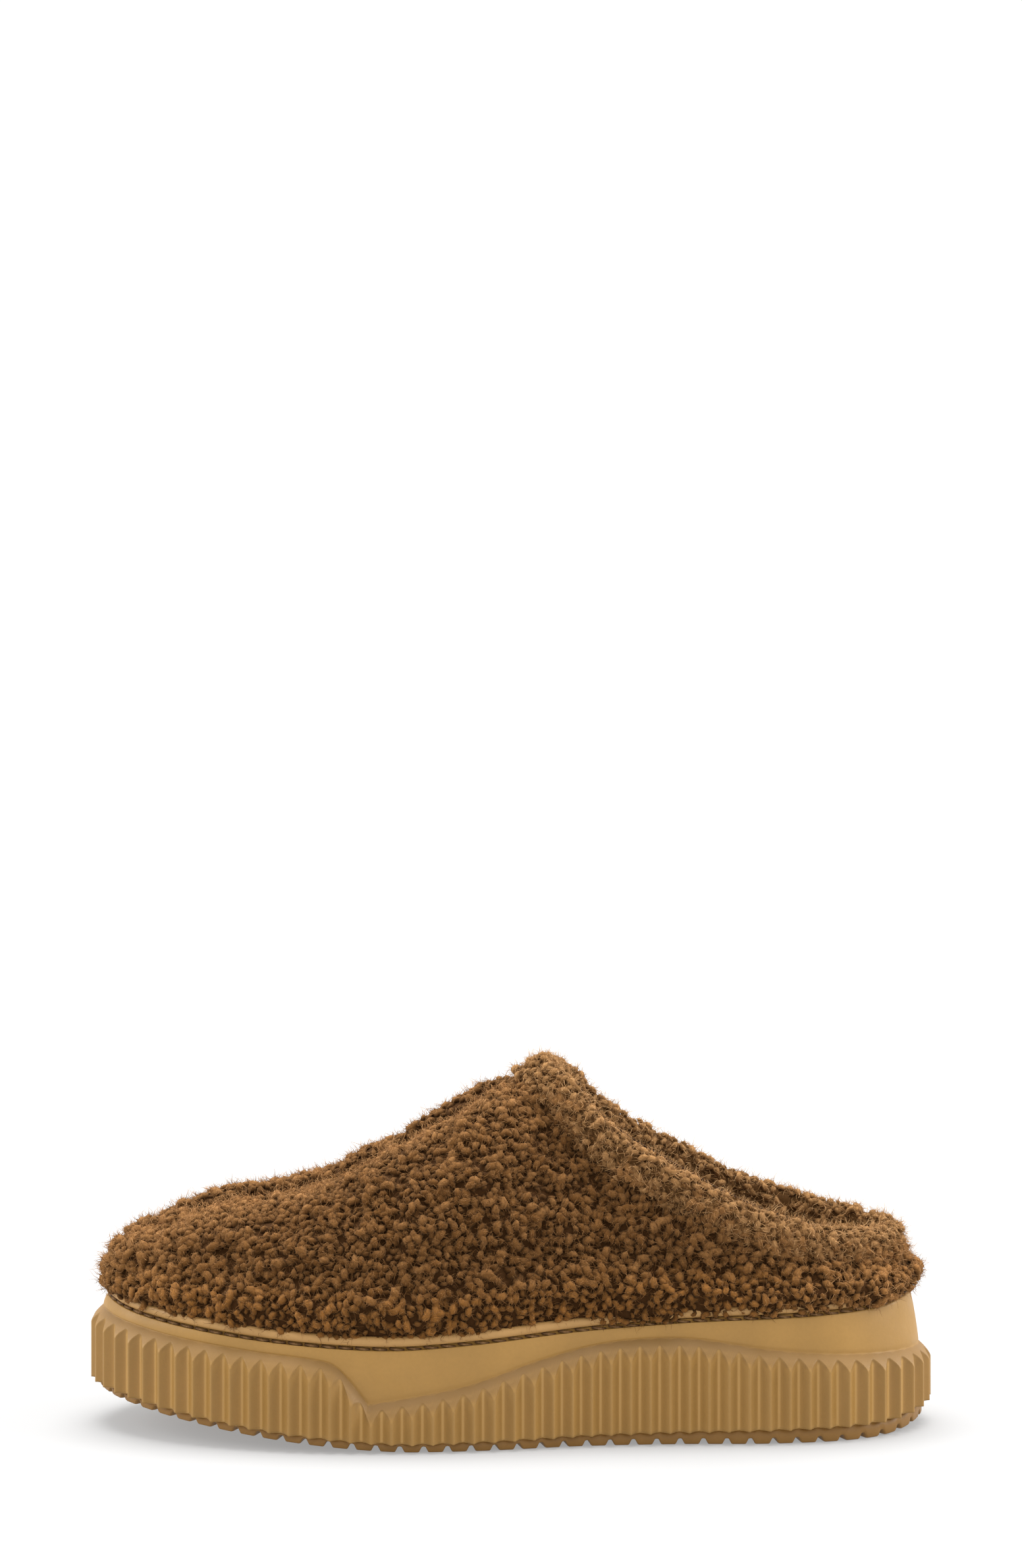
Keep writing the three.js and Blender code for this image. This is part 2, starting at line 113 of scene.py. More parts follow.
class Outline:
    """The smooth panel's outline seen from above, from the toe tip along the outer side and back."""

    KNOTS = (
        (-132, 0), (-126.5, -14.5), (-113, -27.5), (-93, -38.5), (-67, -46), (-38, -48),
        (-9, -45.5), (22, -39), (52, -36.3), (82, -35.5), (107, -30), (125, -17),
        (132, 0), (126, 17), (108, 29.5), (82, 34.5), (52, 33), (22, 33), (-9, 38),
        (-38, 44.5), (-67, 48), (-93, 44.5), (-113, 35), (-126.5, 19.5),
    )
    HEEL_KNOT = 12
    STEPS = 160  # samples between two knots

    def __init__(self) -> None:
        """Samples the closed curve and measures the way along it."""
        knots = np.array(self.KNOTS, float)
        count = len(knots)
        parts = np.linspace(0, 1, self.STEPS, endpoint=False)
        samples = [self._span(*(knots[(k + j) % count] for j in (-1, 0, 1, 2)), parts) for k in range(count)]
        self.points = np.vstack([*samples, knots[:1]])
        ways = np.linalg.norm(np.diff(self.points, axis=0), axis=1)
        self.way = np.concatenate([[0], np.cumsum(ways)])
        self.perimeter = float(self.way[-1])
        self.heel = float(self.way[self.HEEL_KNOT * self.STEPS]) / self.perimeter

    @staticmethod
    def _span(before: np.ndarray, start: np.ndarray, end: np.ndarray, after: np.ndarray,
              parts: np.ndarray) -> np.ndarray:
        """Returns points of one span of a centripetal curve through four knots.

        Args:
            before: The knot before the span.
            start: The span's first knot.
            end: The span's last knot.
            after: The knot after the span.
            parts: How far along the span each point lies, from 0 to 1.
        """
        gaps = [math.sqrt(np.linalg.norm(b - a)) for a, b in ((before, start), (start, end), (end, after))]
        slope = (start - before) / gaps[0] - (end - before) / (gaps[0] + gaps[1]) + (end - start) / gaps[1]
        last = (end - start) / gaps[1] - (after - start) / (gaps[1] + gaps[2]) + (after - end) / gaps[2]
        slope = slope * gaps[1]
        last = last * gaps[1]
        t = parts[:, None]
        return (start + slope * t + (3 * (end - start) - 2 * slope - last) * t**2
                + (2 * (start - end) + slope + last) * t**3)

    def at(self, u: np.ndarray, outwards: np.ndarray | float = 0.0) -> np.ndarray:
        """Returns x and y at parts of the way round, moved outwards.

        Args:
            u: Parts of the way round, taken modulo 1.
            outwards: How far each point is moved along the outline's normal.

        Returns:
            One row of x and y for each u.
        """
        way = np.mod(u, 1.0) * self.perimeter
        step = 0.4
        here = self._read(way)
        along = self._read(way + step) - self._read(way - step)
        along /= np.linalg.norm(along, axis=1)[:, None]
        normal = np.stack([along[:, 1], -along[:, 0]], axis=1)
        return here + normal * np.broadcast_to(outwards, way.shape)[:, None]

    def _read(self, way: np.ndarray) -> np.ndarray:
        """Returns the points at distances along the curve."""
        way = np.mod(way, self.perimeter)
        return np.stack([np.interp(way, self.way, self.points[:, i]) for i in (0, 1)], axis=1)

    def width(self, x: np.ndarray, outwards: float) -> tuple[np.ndarray, np.ndarray]:
        """Returns the least and greatest y of the moved outline at each x."""
        lateral = self.at(np.linspace(0, self.heel, 900), outwards)
        medial = self.at(np.linspace(1, self.heel, 900), outwards)
        return (np.interp(x, lateral[:, 0], lateral[:, 1]), np.interp(x, medial[:, 0], medial[:, 1]))

    def part(self, side: Side, s: np.ndarray) -> np.ndarray:
        """Returns the part of the way round at s, which runs from toe (0) to heel (1) on one side."""
        if side is Side.LATERAL:
            return s * self.heel
        return 1 - s * (1 - self.heel)


def smoothstep(x: np.ndarray, low: float, high: float) -> np.ndarray:
    """Returns 0 below low, 1 above high and a smooth rise between."""
    t = np.clip((x - low) / (high - low), 0, 1)
    return t * t * (3 - 2 * t)


def bell(x: np.ndarray, middle: float, width: float) -> np.ndarray:
    """Returns a smooth hump, 1 at the middle and near 0 two widths from it."""
    return np.exp(-(((x - middle) / width) ** 2))


# ---- Mesh helpers ----


def new_mesh(name: str, bm: bmesh.types.BMesh) -> bpy.types.Mesh:
    """Makes a smooth-shaded mesh of a bmesh, which is freed."""
    mesh = bpy.data.meshes.new(name)
    bm.to_mesh(mesh)
    bm.free()
    mesh.shade_smooth()
    return mesh


def new_object(name: str, bm: bmesh.types.BMesh, material: bpy.types.Material) -> bpy.types.Object:
    """Makes an object of a bmesh, in the scene.

    Args:
        name: The piece's name.
        bm: The shape, in metres, which is freed.
        material: Its finish.

    Returns:
        The new object, at the origin.
    """
    mesh = new_mesh(name, bm)
    mesh.materials.append(material)
    obj = bpy.data.objects.new(name, mesh)
    bpy.context.scene.collection.objects.link(obj)
    return obj


def small_shape(name: str, bm: bmesh.types.BMesh) -> bpy.types.Mesh:
    """Makes the mesh of a small closed shape that is set many times.

    Args:
        name: The mesh's name.
        bm: The shape, in millimetres, which is freed.

    Returns:
        The mesh in metres, facing outwards.
    """
    bmesh.ops.scale(bm, verts=bm.verts, vec=(MM, MM, MM))
    face_outwards(bm)
    return new_mesh(name, bm)


def placed_grid(columns: int, rows: int, place: Place, closed: bool = False) -> bmesh.types.BMesh:
    """Makes a grid and moves each vertex to its place on a surface.

    Args:
        columns: Faces along the first direction.
        rows: Faces along the second direction.
        place: Gives points in millimetres from two arrays of parts, from 0 to 1.
        closed: True if the first direction closes on itself.

    Returns:
        The shape in metres.
    """
    bm = bmesh.new()
    bmesh.ops.create_grid(bm, x_segments=columns, y_segments=rows, size=0.5)
    flat = np.array([vert.co[:2] for vert in bm.verts]) + 0.5
    for vert, point in zip(bm.verts, place(flat[:, 0], flat[:, 1]) * MM):
        vert.co = point
    if closed:
        bmesh.ops.remove_doubles(bm, verts=bm.verts, dist=1e-6)
    return bm


def face_outwards(bm: bmesh.types.BMesh) -> None:
    """Turns every face of a closed shape outwards."""
    bmesh.ops.recalc_face_normals(bm, faces=bm.faces)


def give_values(obj: bpy.types.Object, name: str, values: np.ndarray) -> None:
    """Stores one number per vertex for a finish to read."""
    layer = obj.data.attributes.new(name, "FLOAT", "POINT")
    layer.data.foreach_set("value", np.asarray(values, np.float32))


def places_of(obj: bpy.types.Object) -> np.ndarray:
    """Returns the vertices' places in millimetres."""
    flat = np.empty(len(obj.data.vertices) * 3, np.float32)
    obj.data.vertices.foreach_get("co", flat)
    return flat.reshape(-1, 3) / MM


def take_over(obj: bpy.types.Object, slot: str, *nodes: str) -> None:
    """Rides a piece on the one body, in place of CAD nodes.

    Args:
        obj: The piece.
        slot: The record's material slot. Not used.
        nodes: The CAD nodes that it stands for.
    """
    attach(obj, BODY)
    if nodes:
        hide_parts(*nodes)
    log.info("%s: %d faces", obj.name, len(obj.data.polygons))


# ---- Finishes ----


class Wiring:
    """Short ways to add nodes to a material's tree."""

    def __init__(self, name: str) -> None:
        """Makes a material with a Principled shader."""
        self.material = bpy.data.materials.new(name)
        self.material.use_nodes = True
        self.tree = self.material.node_tree
        self.shader = self.tree.nodes["Principled BSDF"]

    def node(self, kind: str, **settings: object) -> bpy.types.Node:
        """Adds a node and sets its properties."""
        made = self.tree.nodes.new(kind)
        for key, value in settings.items():
            setattr(made, key, value)
        return made

    def link(self, source: bpy.types.NodeSocket, target: bpy.types.NodeSocket) -> None:
        """Joins two sockets."""
        self.tree.links.new(source, target)

    def value(self, name: str) -> bpy.types.NodeSocket:
        """Reads a number stored on the vertices."""
        return self.node("ShaderNodeAttribute", attribute_name=name).outputs["Fac"]

    def noise(self, scale: float, detail: float = 2.0, roughness: float = 0.5) -> bpy.types.NodeSocket:
        """Adds noise on Object coordinates.

        Args:
            scale: Lumps per metre.
            detail: Octaves.
            roughness: Strength of the finer octaves.

        Returns:
            The noise's number.
        """
        place = self.node("ShaderNodeTexCoord").outputs["Object"]
        made = self.node("ShaderNodeTexNoise")
        made.inputs["Scale"].default_value = scale
        made.inputs["Detail"].default_value = detail
        made.inputs["Roughness"].default_value = roughness
        self.link(place, made.inputs["Vector"])
        return made.outputs["Fac"]

    def ramp(self, source: bpy.types.NodeSocket, low: float, high: float, start: float = 0.0,
             end: float = 1.0) -> bpy.types.NodeSocket:
        """Stretches a number from one range to another, held at both ends.

        Args:
            source: The number.
            low: Where the first range starts.
            high: Where it ends.
            start: What low becomes.
            end: What high becomes.

        Returns:
            The new number.
        """
        made = self.node("ShaderNodeMapRange")
        for key, number in zip(("From Min", "From Max", "To Min", "To Max"), (low, high, start, end)):
            made.inputs[key].default_value = number
        self.link(source, made.inputs["Value"])
        return made.outputs["Result"]

    def plain(self, **constants: object) -> None:
        """Sets constant inputs of the shader, named with underscores for spaces."""
        for name, constant in constants.items():
            self.shader.inputs[name.replace("_", " ")].default_value = constant

    def blend(self, factor: bpy.types.NodeSocket, first: object, second: object) -> bpy.types.NodeSocket:
        """Mixes two colours.

        Args:
            factor: How much of the second.
            first: A colour or a socket.
            second: A colour or a socket.

        Returns:
            The mixed colour.
        """
        made = self.node("ShaderNodeMix", data_type="RGBA")
        self.link(factor, made.inputs["Factor"])
        for socket, given in ((made.inputs[6], first), (made.inputs[7], second)):
            if isinstance(given, bpy.types.NodeSocket):
                self.link(given, socket)
            else:
                socket.default_value = (*given, 1.0)
        return made.outputs[2]

    def bump(self, height: bpy.types.NodeSocket, strength: float, distance: float) -> None:
        """Adds relief to the shader's normal, over any that it has.

        Args:
            height: The relief.
            strength: From 0 to 1.
            distance: The relief's height in metres.
        """
        made = self.node("ShaderNodeBump")
        made.inputs["Strength"].default_value = strength
        made.inputs["Distance"].default_value = distance
        self.link(height, made.inputs["Height"])
        normal = self.shader.inputs["Normal"]
        if normal.is_linked:
            self.link(normal.links[0].from_socket, made.inputs["Normal"])
        self.link(made.outputs["Normal"], normal)


@dataclass(frozen=True)
class Rubber:
    """Satin moulded rubber with a fine grain: worn crests with a painted highlight, painted highlights in
    the valleys, painted shade on the shelf.
    """

    name: str
    color: tuple[float, float, float]
    wear_and_highlight_color: tuple[float, float, float]
    shaded: tuple[float, float, float]
    roughness: float = 0.5

    def material(self) -> bpy.types.Material:
        """Returns the finish. It reads its mark of worn crests and painted valley highlights, and its
        painted-shade mark (shelf), from the vertices.
        """
        wiring = Wiring(self.name)
        cloudy = wiring.ramp(wiring.noise(45.0, 4.0), 0.35, 0.65)
        tone = wiring.blend(cloudy, tuple(0.94 * part for part in self.color),
                            tuple(1.05 * part for part in self.color))
        speckled = wiring.ramp(wiring.noise(900.0, 2.0), 0.3, 0.7, 0.0, 0.12)
        tone = wiring.blend(speckled, tone, tuple(0.6 * part for part in self.color))
        # Painted shade: the shelf, deepest at the waist, and the rib band are drawn toward the shaded
        # colour.
        tone = wiring.blend(wiring.value("shelf"), tone, self.shaded)
        # Crests lighter from wear with a painted highlight; painted highlights along the valleys and the
        # groove faces near them.
        tone = wiring.blend(wiring.value("wear"), tone, self.wear_and_highlight_color)
        wiring.link(tone, wiring.shader.inputs["Base Color"])
        rough = wiring.ramp(wiring.noise(160.0, 3.0), 0.3, 0.7, self.roughness - 0.06, self.roughness + 0.08)
        wiring.link(rough, wiring.shader.inputs["Roughness"])
        wiring.plain(Specular_IOR_Level=0.35)
        wiring.bump(wiring.noise(1500.0, 3.0), 0.25, 0.00012)
        wiring.bump(wiring.noise(220.0, 2.0), 0.15, 0.0003)
        return wiring.material


@dataclass(frozen=True)
class Fleece:
    """Curly wool pile: painted shade between the curls and in the seam's groove, painted light on its edges,
    with a soft sheen.
    """

    name: str
    painted_shade: tuple[float, float, float]
    middle: tuple[float, float, float]
    light: tuple[float, float, float]
    low: tuple[float, float, float]

    def material(self) -> bpy.types.Material:
        """Returns the finish. It reads tone, height, foot, edge, groove and strand."""
        wiring = Wiring(self.name)
        strands = self.strands(wiring)
        patch = wiring.ramp(wiring.noise(70.0, 3.0), 0.35, 0.65, 0.0, 0.5)
        own = wiring.ramp(wiring.value("tone"), 0.0, 1.0, 0.0, 0.6)
        tone = wiring.blend(own, self.middle, self.light)
        tone = wiring.blend(patch, tone, self.middle)
        tone = wiring.blend(wiring.value("foot"), tone, self.low)
        # Painted light: the toe, heel, top by the seam and the collar are paler where light from above and
        # behind falls.
        tone = wiring.blend(wiring.value("edge"), tone, self.light)
        tone = wiring.blend(wiring.ramp(strands, 0.35, 0.65, 0.0, 0.35), tone,
                            tuple(0.5 * part for part in self.middle))
        # Painted shade between the curls: the curls' low parts, and the backing with no height mark, take
        # the shade colour.
        sunk = wiring.ramp(wiring.value("height"), 0.0003, 0.0021, 1.0, 0.0)
        tone = wiring.blend(sunk, tone, self.painted_shade)
        # Painted shade in the front seam's groove.
        tone = wiring.blend(wiring.value("groove"), tone, self.painted_shade)
        wiring.link(tone, wiring.shader.inputs["Base Color"])
        wiring.plain(Roughness=0.85, Specular_IOR_Level=0.08, Sheen_Weight=0.16, Sheen_Roughness=0.45,
                     Sheen_Tint=(0.8, 0.49, 0.24, 1.0))
        wiring.bump(strands, 0.6, 0.0004)
        wiring.bump(wiring.noise(1800.0, 3.0, 0.7), 0.5, 0.0003)
        return wiring.material

    @staticmethod
    def strands(wiring: Wiring) -> bpy.types.NodeSocket:
        """Adds fine lines that run along each curl."""
        place = wiring.node("ShaderNodeAttribute", attribute_name="strand").outputs["Vector"]
        stretched = wiring.node("ShaderNodeVectorMath", operation="MULTIPLY")
        stretched.inputs[1].default_value = (9.0, 9.0, 1.6)
        wiring.link(place, stretched.inputs[0])
        shifted = wiring.node("ShaderNodeVectorMath", operation="ADD")
        wiring.link(stretched.outputs["Vector"], shifted.inputs[0])
        apart = wiring.node("ShaderNodeMath", operation="MULTIPLY")
        apart.inputs[1].default_value = 40.0
        wiring.link(wiring.value("tone"), apart.inputs[0])
        wiring.link(apart.outputs["Value"], shifted.inputs[1])
        made = wiring.node("ShaderNodeTexNoise")
        made.inputs["Scale"].default_value = 1.0
        made.inputs["Detail"].default_value = 2.0
        wiring.link(shifted.outputs["Vector"], made.inputs["Vector"])
        return made.outputs["Fac"]


@dataclass(frozen=True)
class Cloth:
    """Short brushed cloth."""

    name: str
    color: tuple[float, float, float]
    grain: float = 900.0

    def material(self) -> bpy.types.Material:
        """Returns the finish."""
        wiring = Wiring(self.name)
        fine = wiring.ramp(wiring.noise(self.grain, 4.0, 0.7), 0.3, 0.7)
        broad = wiring.ramp(wiring.noise(60.0, 2.0), 0.3, 0.7, 0.0, 0.5)
        tone = wiring.blend(fine, tuple(0.6 * part for part in self.color),
                            tuple(1.4 * part for part in self.color))
        tone = wiring.blend(broad, tone, self.color)
        wiring.link(tone, wiring.shader.inputs["Base Color"])
        wiring.plain(Roughness=0.9, Specular_IOR_Level=0.2, Sheen_Weight=0.15, Sheen_Roughness=0.5,
                     Sheen_Tint=(0.8, 0.58, 0.42, 1.0))
        wiring.bump(wiring.noise(self.grain * 1.5, 3.0, 0.7), 0.7, 0.0004)
        return wiring.material


@dataclass(frozen=True)
class Thread:
    """Twisted thread with a slight shine."""

    name: str
    dark: tuple[float, float, float]
    light: tuple[float, float, float]

    def material(self) -> bpy.types.Material:
        """Returns the finish. It reads tone from the vertices: on the stitches a painted highlight and
        painted shade.
        """
        wiring = Wiring(self.name)
        tone = wiring.blend(wiring.value("tone"), self.dark, self.light)
        ply = wiring.ramp(wiring.noise(1600.0, 2.0), 0.35, 0.65, 0.0, 0.6)
        tone = wiring.blend(ply, tone, self.dark)
        wiring.link(tone, wiring.shader.inputs["Base Color"])
        wiring.plain(Roughness=0.65, Specular_IOR_Level=0.2)
        wiring.bump(wiring.noise(2500.0, 2.0), 0.8, 0.0003)
        return wiring.material


# ---- Shapes shared by the pieces ----


@dataclass
class SoleShape:
    """Heights and offsets of the sole, in millimetres."""

    rib_pitch: float = 6.2
    rib_depth: float = 2.4
    rib_stand_out: float = 4.2
    rib_foot_lift: float = 0.5
    flare_height: float = 6.4
    flare_less_at_ends: float = 1.2
    flare_power: float = 1.5
    wall: float = 4.0
    floor: float = 3.0
    stitch_step: float = 1.0
    stitch_step_depth: float = 1.1
    lip_radius: float = 1.6
    gap: float = 0.3
    toe_spring: float = 12.0
    toe_spring_start: float = -30.0
    toe_spring_run: float = 102.0
    heel_lift: float = 3.0
    heel_lift_start: float = 112.0
    heel_lift_run: float = 20.0
    edge_corner: float = -44.0
    board_below_top: float = 16.0
    board: float = 2.0
    footbed: float = 5.0
    cover: float = 2.2
    outline: Outline = field(default_factory=Outline)
    tread_height: Profile = field(default_factory=lambda: Profile(
        ((-132, 2.6), (-60, 2.7), (-20, 2.9), (40, 3.9), (90, 4.7), (131, 5))))
    cup_top: Profile = field(default_factory=lambda: Profile(
        ((-132, 42), (-120, 39.2), (-100, 36.6), (-70, 33.8), (-38, 32.2), (-12, 33.6),
         (20, 36.4), (60, 39), (100, 40.4), (120, 41.6), (132, 43.6))))
    draft: Profile = field(default_factory=lambda: Profile(
        ((-132, 1.2), (-118, 0.8), (-90, 0), (80, 0), (110, 1.2), (132, 2.6))))
    edge_front: Profile = field(default_factory=lambda: Profile(
        ((-132, 37.6), (-122, 35.4), (-106, 33), (-81, 30.4), (-57, 27.8), (-52, 24.6), (-44, 14.8))))
    edge_back: Profile = field(default_factory=lambda: Profile(
        ((-44, 14.8), (-15, 19.9), (8, 27), (24, 31), (39, 33), (57, 32.9), (81, 29.4),
         (107, 27), (131, 25.8))))

    @property
    def ribs(self) -> int:
        """Returns how many ribs go round."""
        return round(self.outline.perimeter / self.rib_pitch)

    def ground(self, x: np.ndarray) -> np.ndarray:
        """Returns the tread's underside: flat, rising at the toe and a little at the heel."""
        toe = np.maximum(0, (self.toe_spring_start - x) / self.toe_spring_run)
        heel = np.maximum(0, (x - self.heel_lift_start) / self.heel_lift_run)
        return self.toe_spring * toe**1.5 + self.heel_lift * heel**2

    def rib_foot(self, x: np.ndarray) -> np.ndarray:
        """Returns the ribs' lower edge."""
        return self.ground(x) + self.tread_height(x)

    def panel_edge(self, x: np.ndarray) -> np.ndarray:
        """Returns the smooth panel's lower edge, which dips to a corner behind the ball."""
        return np.where(x < self.edge_corner, self.edge_front(x), self.edge_back(x))

    def flare(self, x: np.ndarray) -> np.ndarray:
        """Returns the flared shelf's height, which is less round the toe and the heel."""
        return self.flare_height - self.flare_less_at_ends * smoothstep(np.abs(x), 60, 110)

    def board_top(self, x: np.ndarray) -> np.ndarray:
        """Returns the insole board's upper face."""
        return self.cup_top(x) - self.board_below_top + self.gap + self.board

    def cover_top(self, x: np.ndarray) -> np.ndarray:
        """Returns the footbed cover's upper face."""
        return self.board_top(x) + 2 * self.gap + self.footbed + self.cover


@dataclass
class UpperShape:
    """The upper's outer skin and what lies under it, in millimetres."""

    sole: SoleShape
    throat: float = 0.48
    foot_out: float = 0.2
    mouth_middle: float = 67.0
    mouth_half_length: float = 60.0
    mouth_half_width: float = 32.0
    seam_x: Profile = field(default_factory=lambda: Profile(
        ((0, -111), (0.07, -102), (0.16, -83), (0.25, -60), (0.34, -34), (0.42, -11), (0.48, 7))))
    seam_z: Profile = field(default_factory=lambda: Profile(
        ((0, 69), (0.07, 73.5), (0.16, 77.5), (0.25, 82), (0.34, 95), (0.42, 107), (0.48, 114.5))))
    collar_z: Profile = field(default_factory=lambda: Profile(
        ((7, 114.5), (17, 108), (25, 99.5), (37, 90.5), (52, 82.5), (72, 72.5), (87, 67),
         (99, 64), (115, 61.5), (127, 60.5))))
    hang: Profile = field(default_factory=lambda: Profile(
        ((-132, 1.2), (-60, 0.9), (-10, 0.9), (15, 1.4), (35, 2.7), (105, 2.7), (120, 2.2), (132, 1.4))))

    def top_line(self, side: Side, s: np.ndarray) -> np.ndarray:
        """Returns the seam, and behind the throat the mouth's edge, at each s."""
        turn = np.pi * np.clip((s - self.throat) / (1 - self.throat), 0, 1)
        mouth_x = self.mouth_middle - self.mouth_half_length * np.cos(turn)
        on_seam = s < self.throat
        x = np.where(on_seam, self.seam_x(s), mouth_x)
        y = np.where(on_seam, 0.0, side.value * self.mouth_half_width * np.sin(turn))
        z = np.where(on_seam, self.seam_z(s), self.collar_z(mouth_x))
        return np.stack([x, y, z], axis=1)

    def skin(self, side: Side, s: np.ndarray, t: np.ndarray) -> np.ndarray:
        """Returns points of the outer skin.

        Args:
            side: Which half of the upper.
            s: From the toe seam (0) to the heel seam (1).
            t: From the cup (0) to the seam or the mouth's edge (1).
        """
        s = np.clip(s, 0.0005, 0.9995)
        u = self.sole.outline.part(side, s)
        plan = self.sole.outline.at(u, self.foot_out)
        out = self.sole.outline.at(u, self.foot_out + 1) - plan
        foot_z = self.sole.cup_top(plan[:, 0]) + 2 * self.sole.gap + 2 * self.sole.lip_radius
        foot = np.column_stack([plan, foot_z])
        top = self.top_line(side, s)
        height = top[:, 2] - foot_z
        collar = smoothstep(s, self.throat - 0.04, self.throat + 0.14)[:, None]
        low = np.column_stack([plan + out * 4, foot_z + 0.5 * height])
        level = np.column_stack([top[:, :2] + 0.62 * (plan - top[:, :2]), top[:, 2] - 0.04 * height])
        upright = np.column_stack([top[:, :2] + 3 * out, top[:, 2] - 0.35 * height])
        high = level * (1 - collar) + upright * collar
        t = t[:, None]
        return (foot * (1 - t) ** 3 + 3 * low * t * (1 - t) ** 2 + 3 * high * t**2 * (1 - t) + top * t**3)

    def normal(self, side: Side, s: np.ndarray, t: np.ndarray) -> np.ndarray:
        """Returns the skin's outward normals."""
        step = 0.004
        along_s = (self.skin(side, np.minimum(s + step, 0.999), t)
                   - self.skin(side, np.maximum(s - step, 0.001), t))
        along_t = (self.skin(side, s, np.minimum(t + step, 1)) - self.skin(side, s, np.maximum(t - step, 0)))
        cross = np.cross(along_s, along_t) * -side.value
        return cross / np.linalg.norm(cross, axis=1)[:, None]

    def meet_at_seams(self, side: Side, s: np.ndarray, t: np.ndarray, points: np.ndarray,
                      least: float) -> None:
        """Keeps points on their own side, and brings those on a seam to the middle plane.

        Args:
            side: Which half of the upper.
            s: From the toe seam (0) to the heel seam (1).
            t: From the cup (0) to the seam or the mouth's edge (1).
            points: The points, which are moved in place.
            least: How far from the middle plane the others stay.
        """
        at_seam = (s < 0.001) | (s > 0.999) | ((t > 0.999) & (s < self.throat))
        own_side = side.value * np.maximum(side.value * points[:, 1], least)
        points[:, 1] = np.where(at_seam, 0.0, own_side)

    def under(self, side: Side, s: np.ndarray, t: np.ndarray, depth: np.ndarray | float) -> np.ndarray:
        """Returns points at a depth under the skin."""
        depth = np.broadcast_to(depth, s.shape)[:, None]
        return self.skin(side, s, t) - self.normal(side, s, t) * depth


# ---- Sole pieces ----


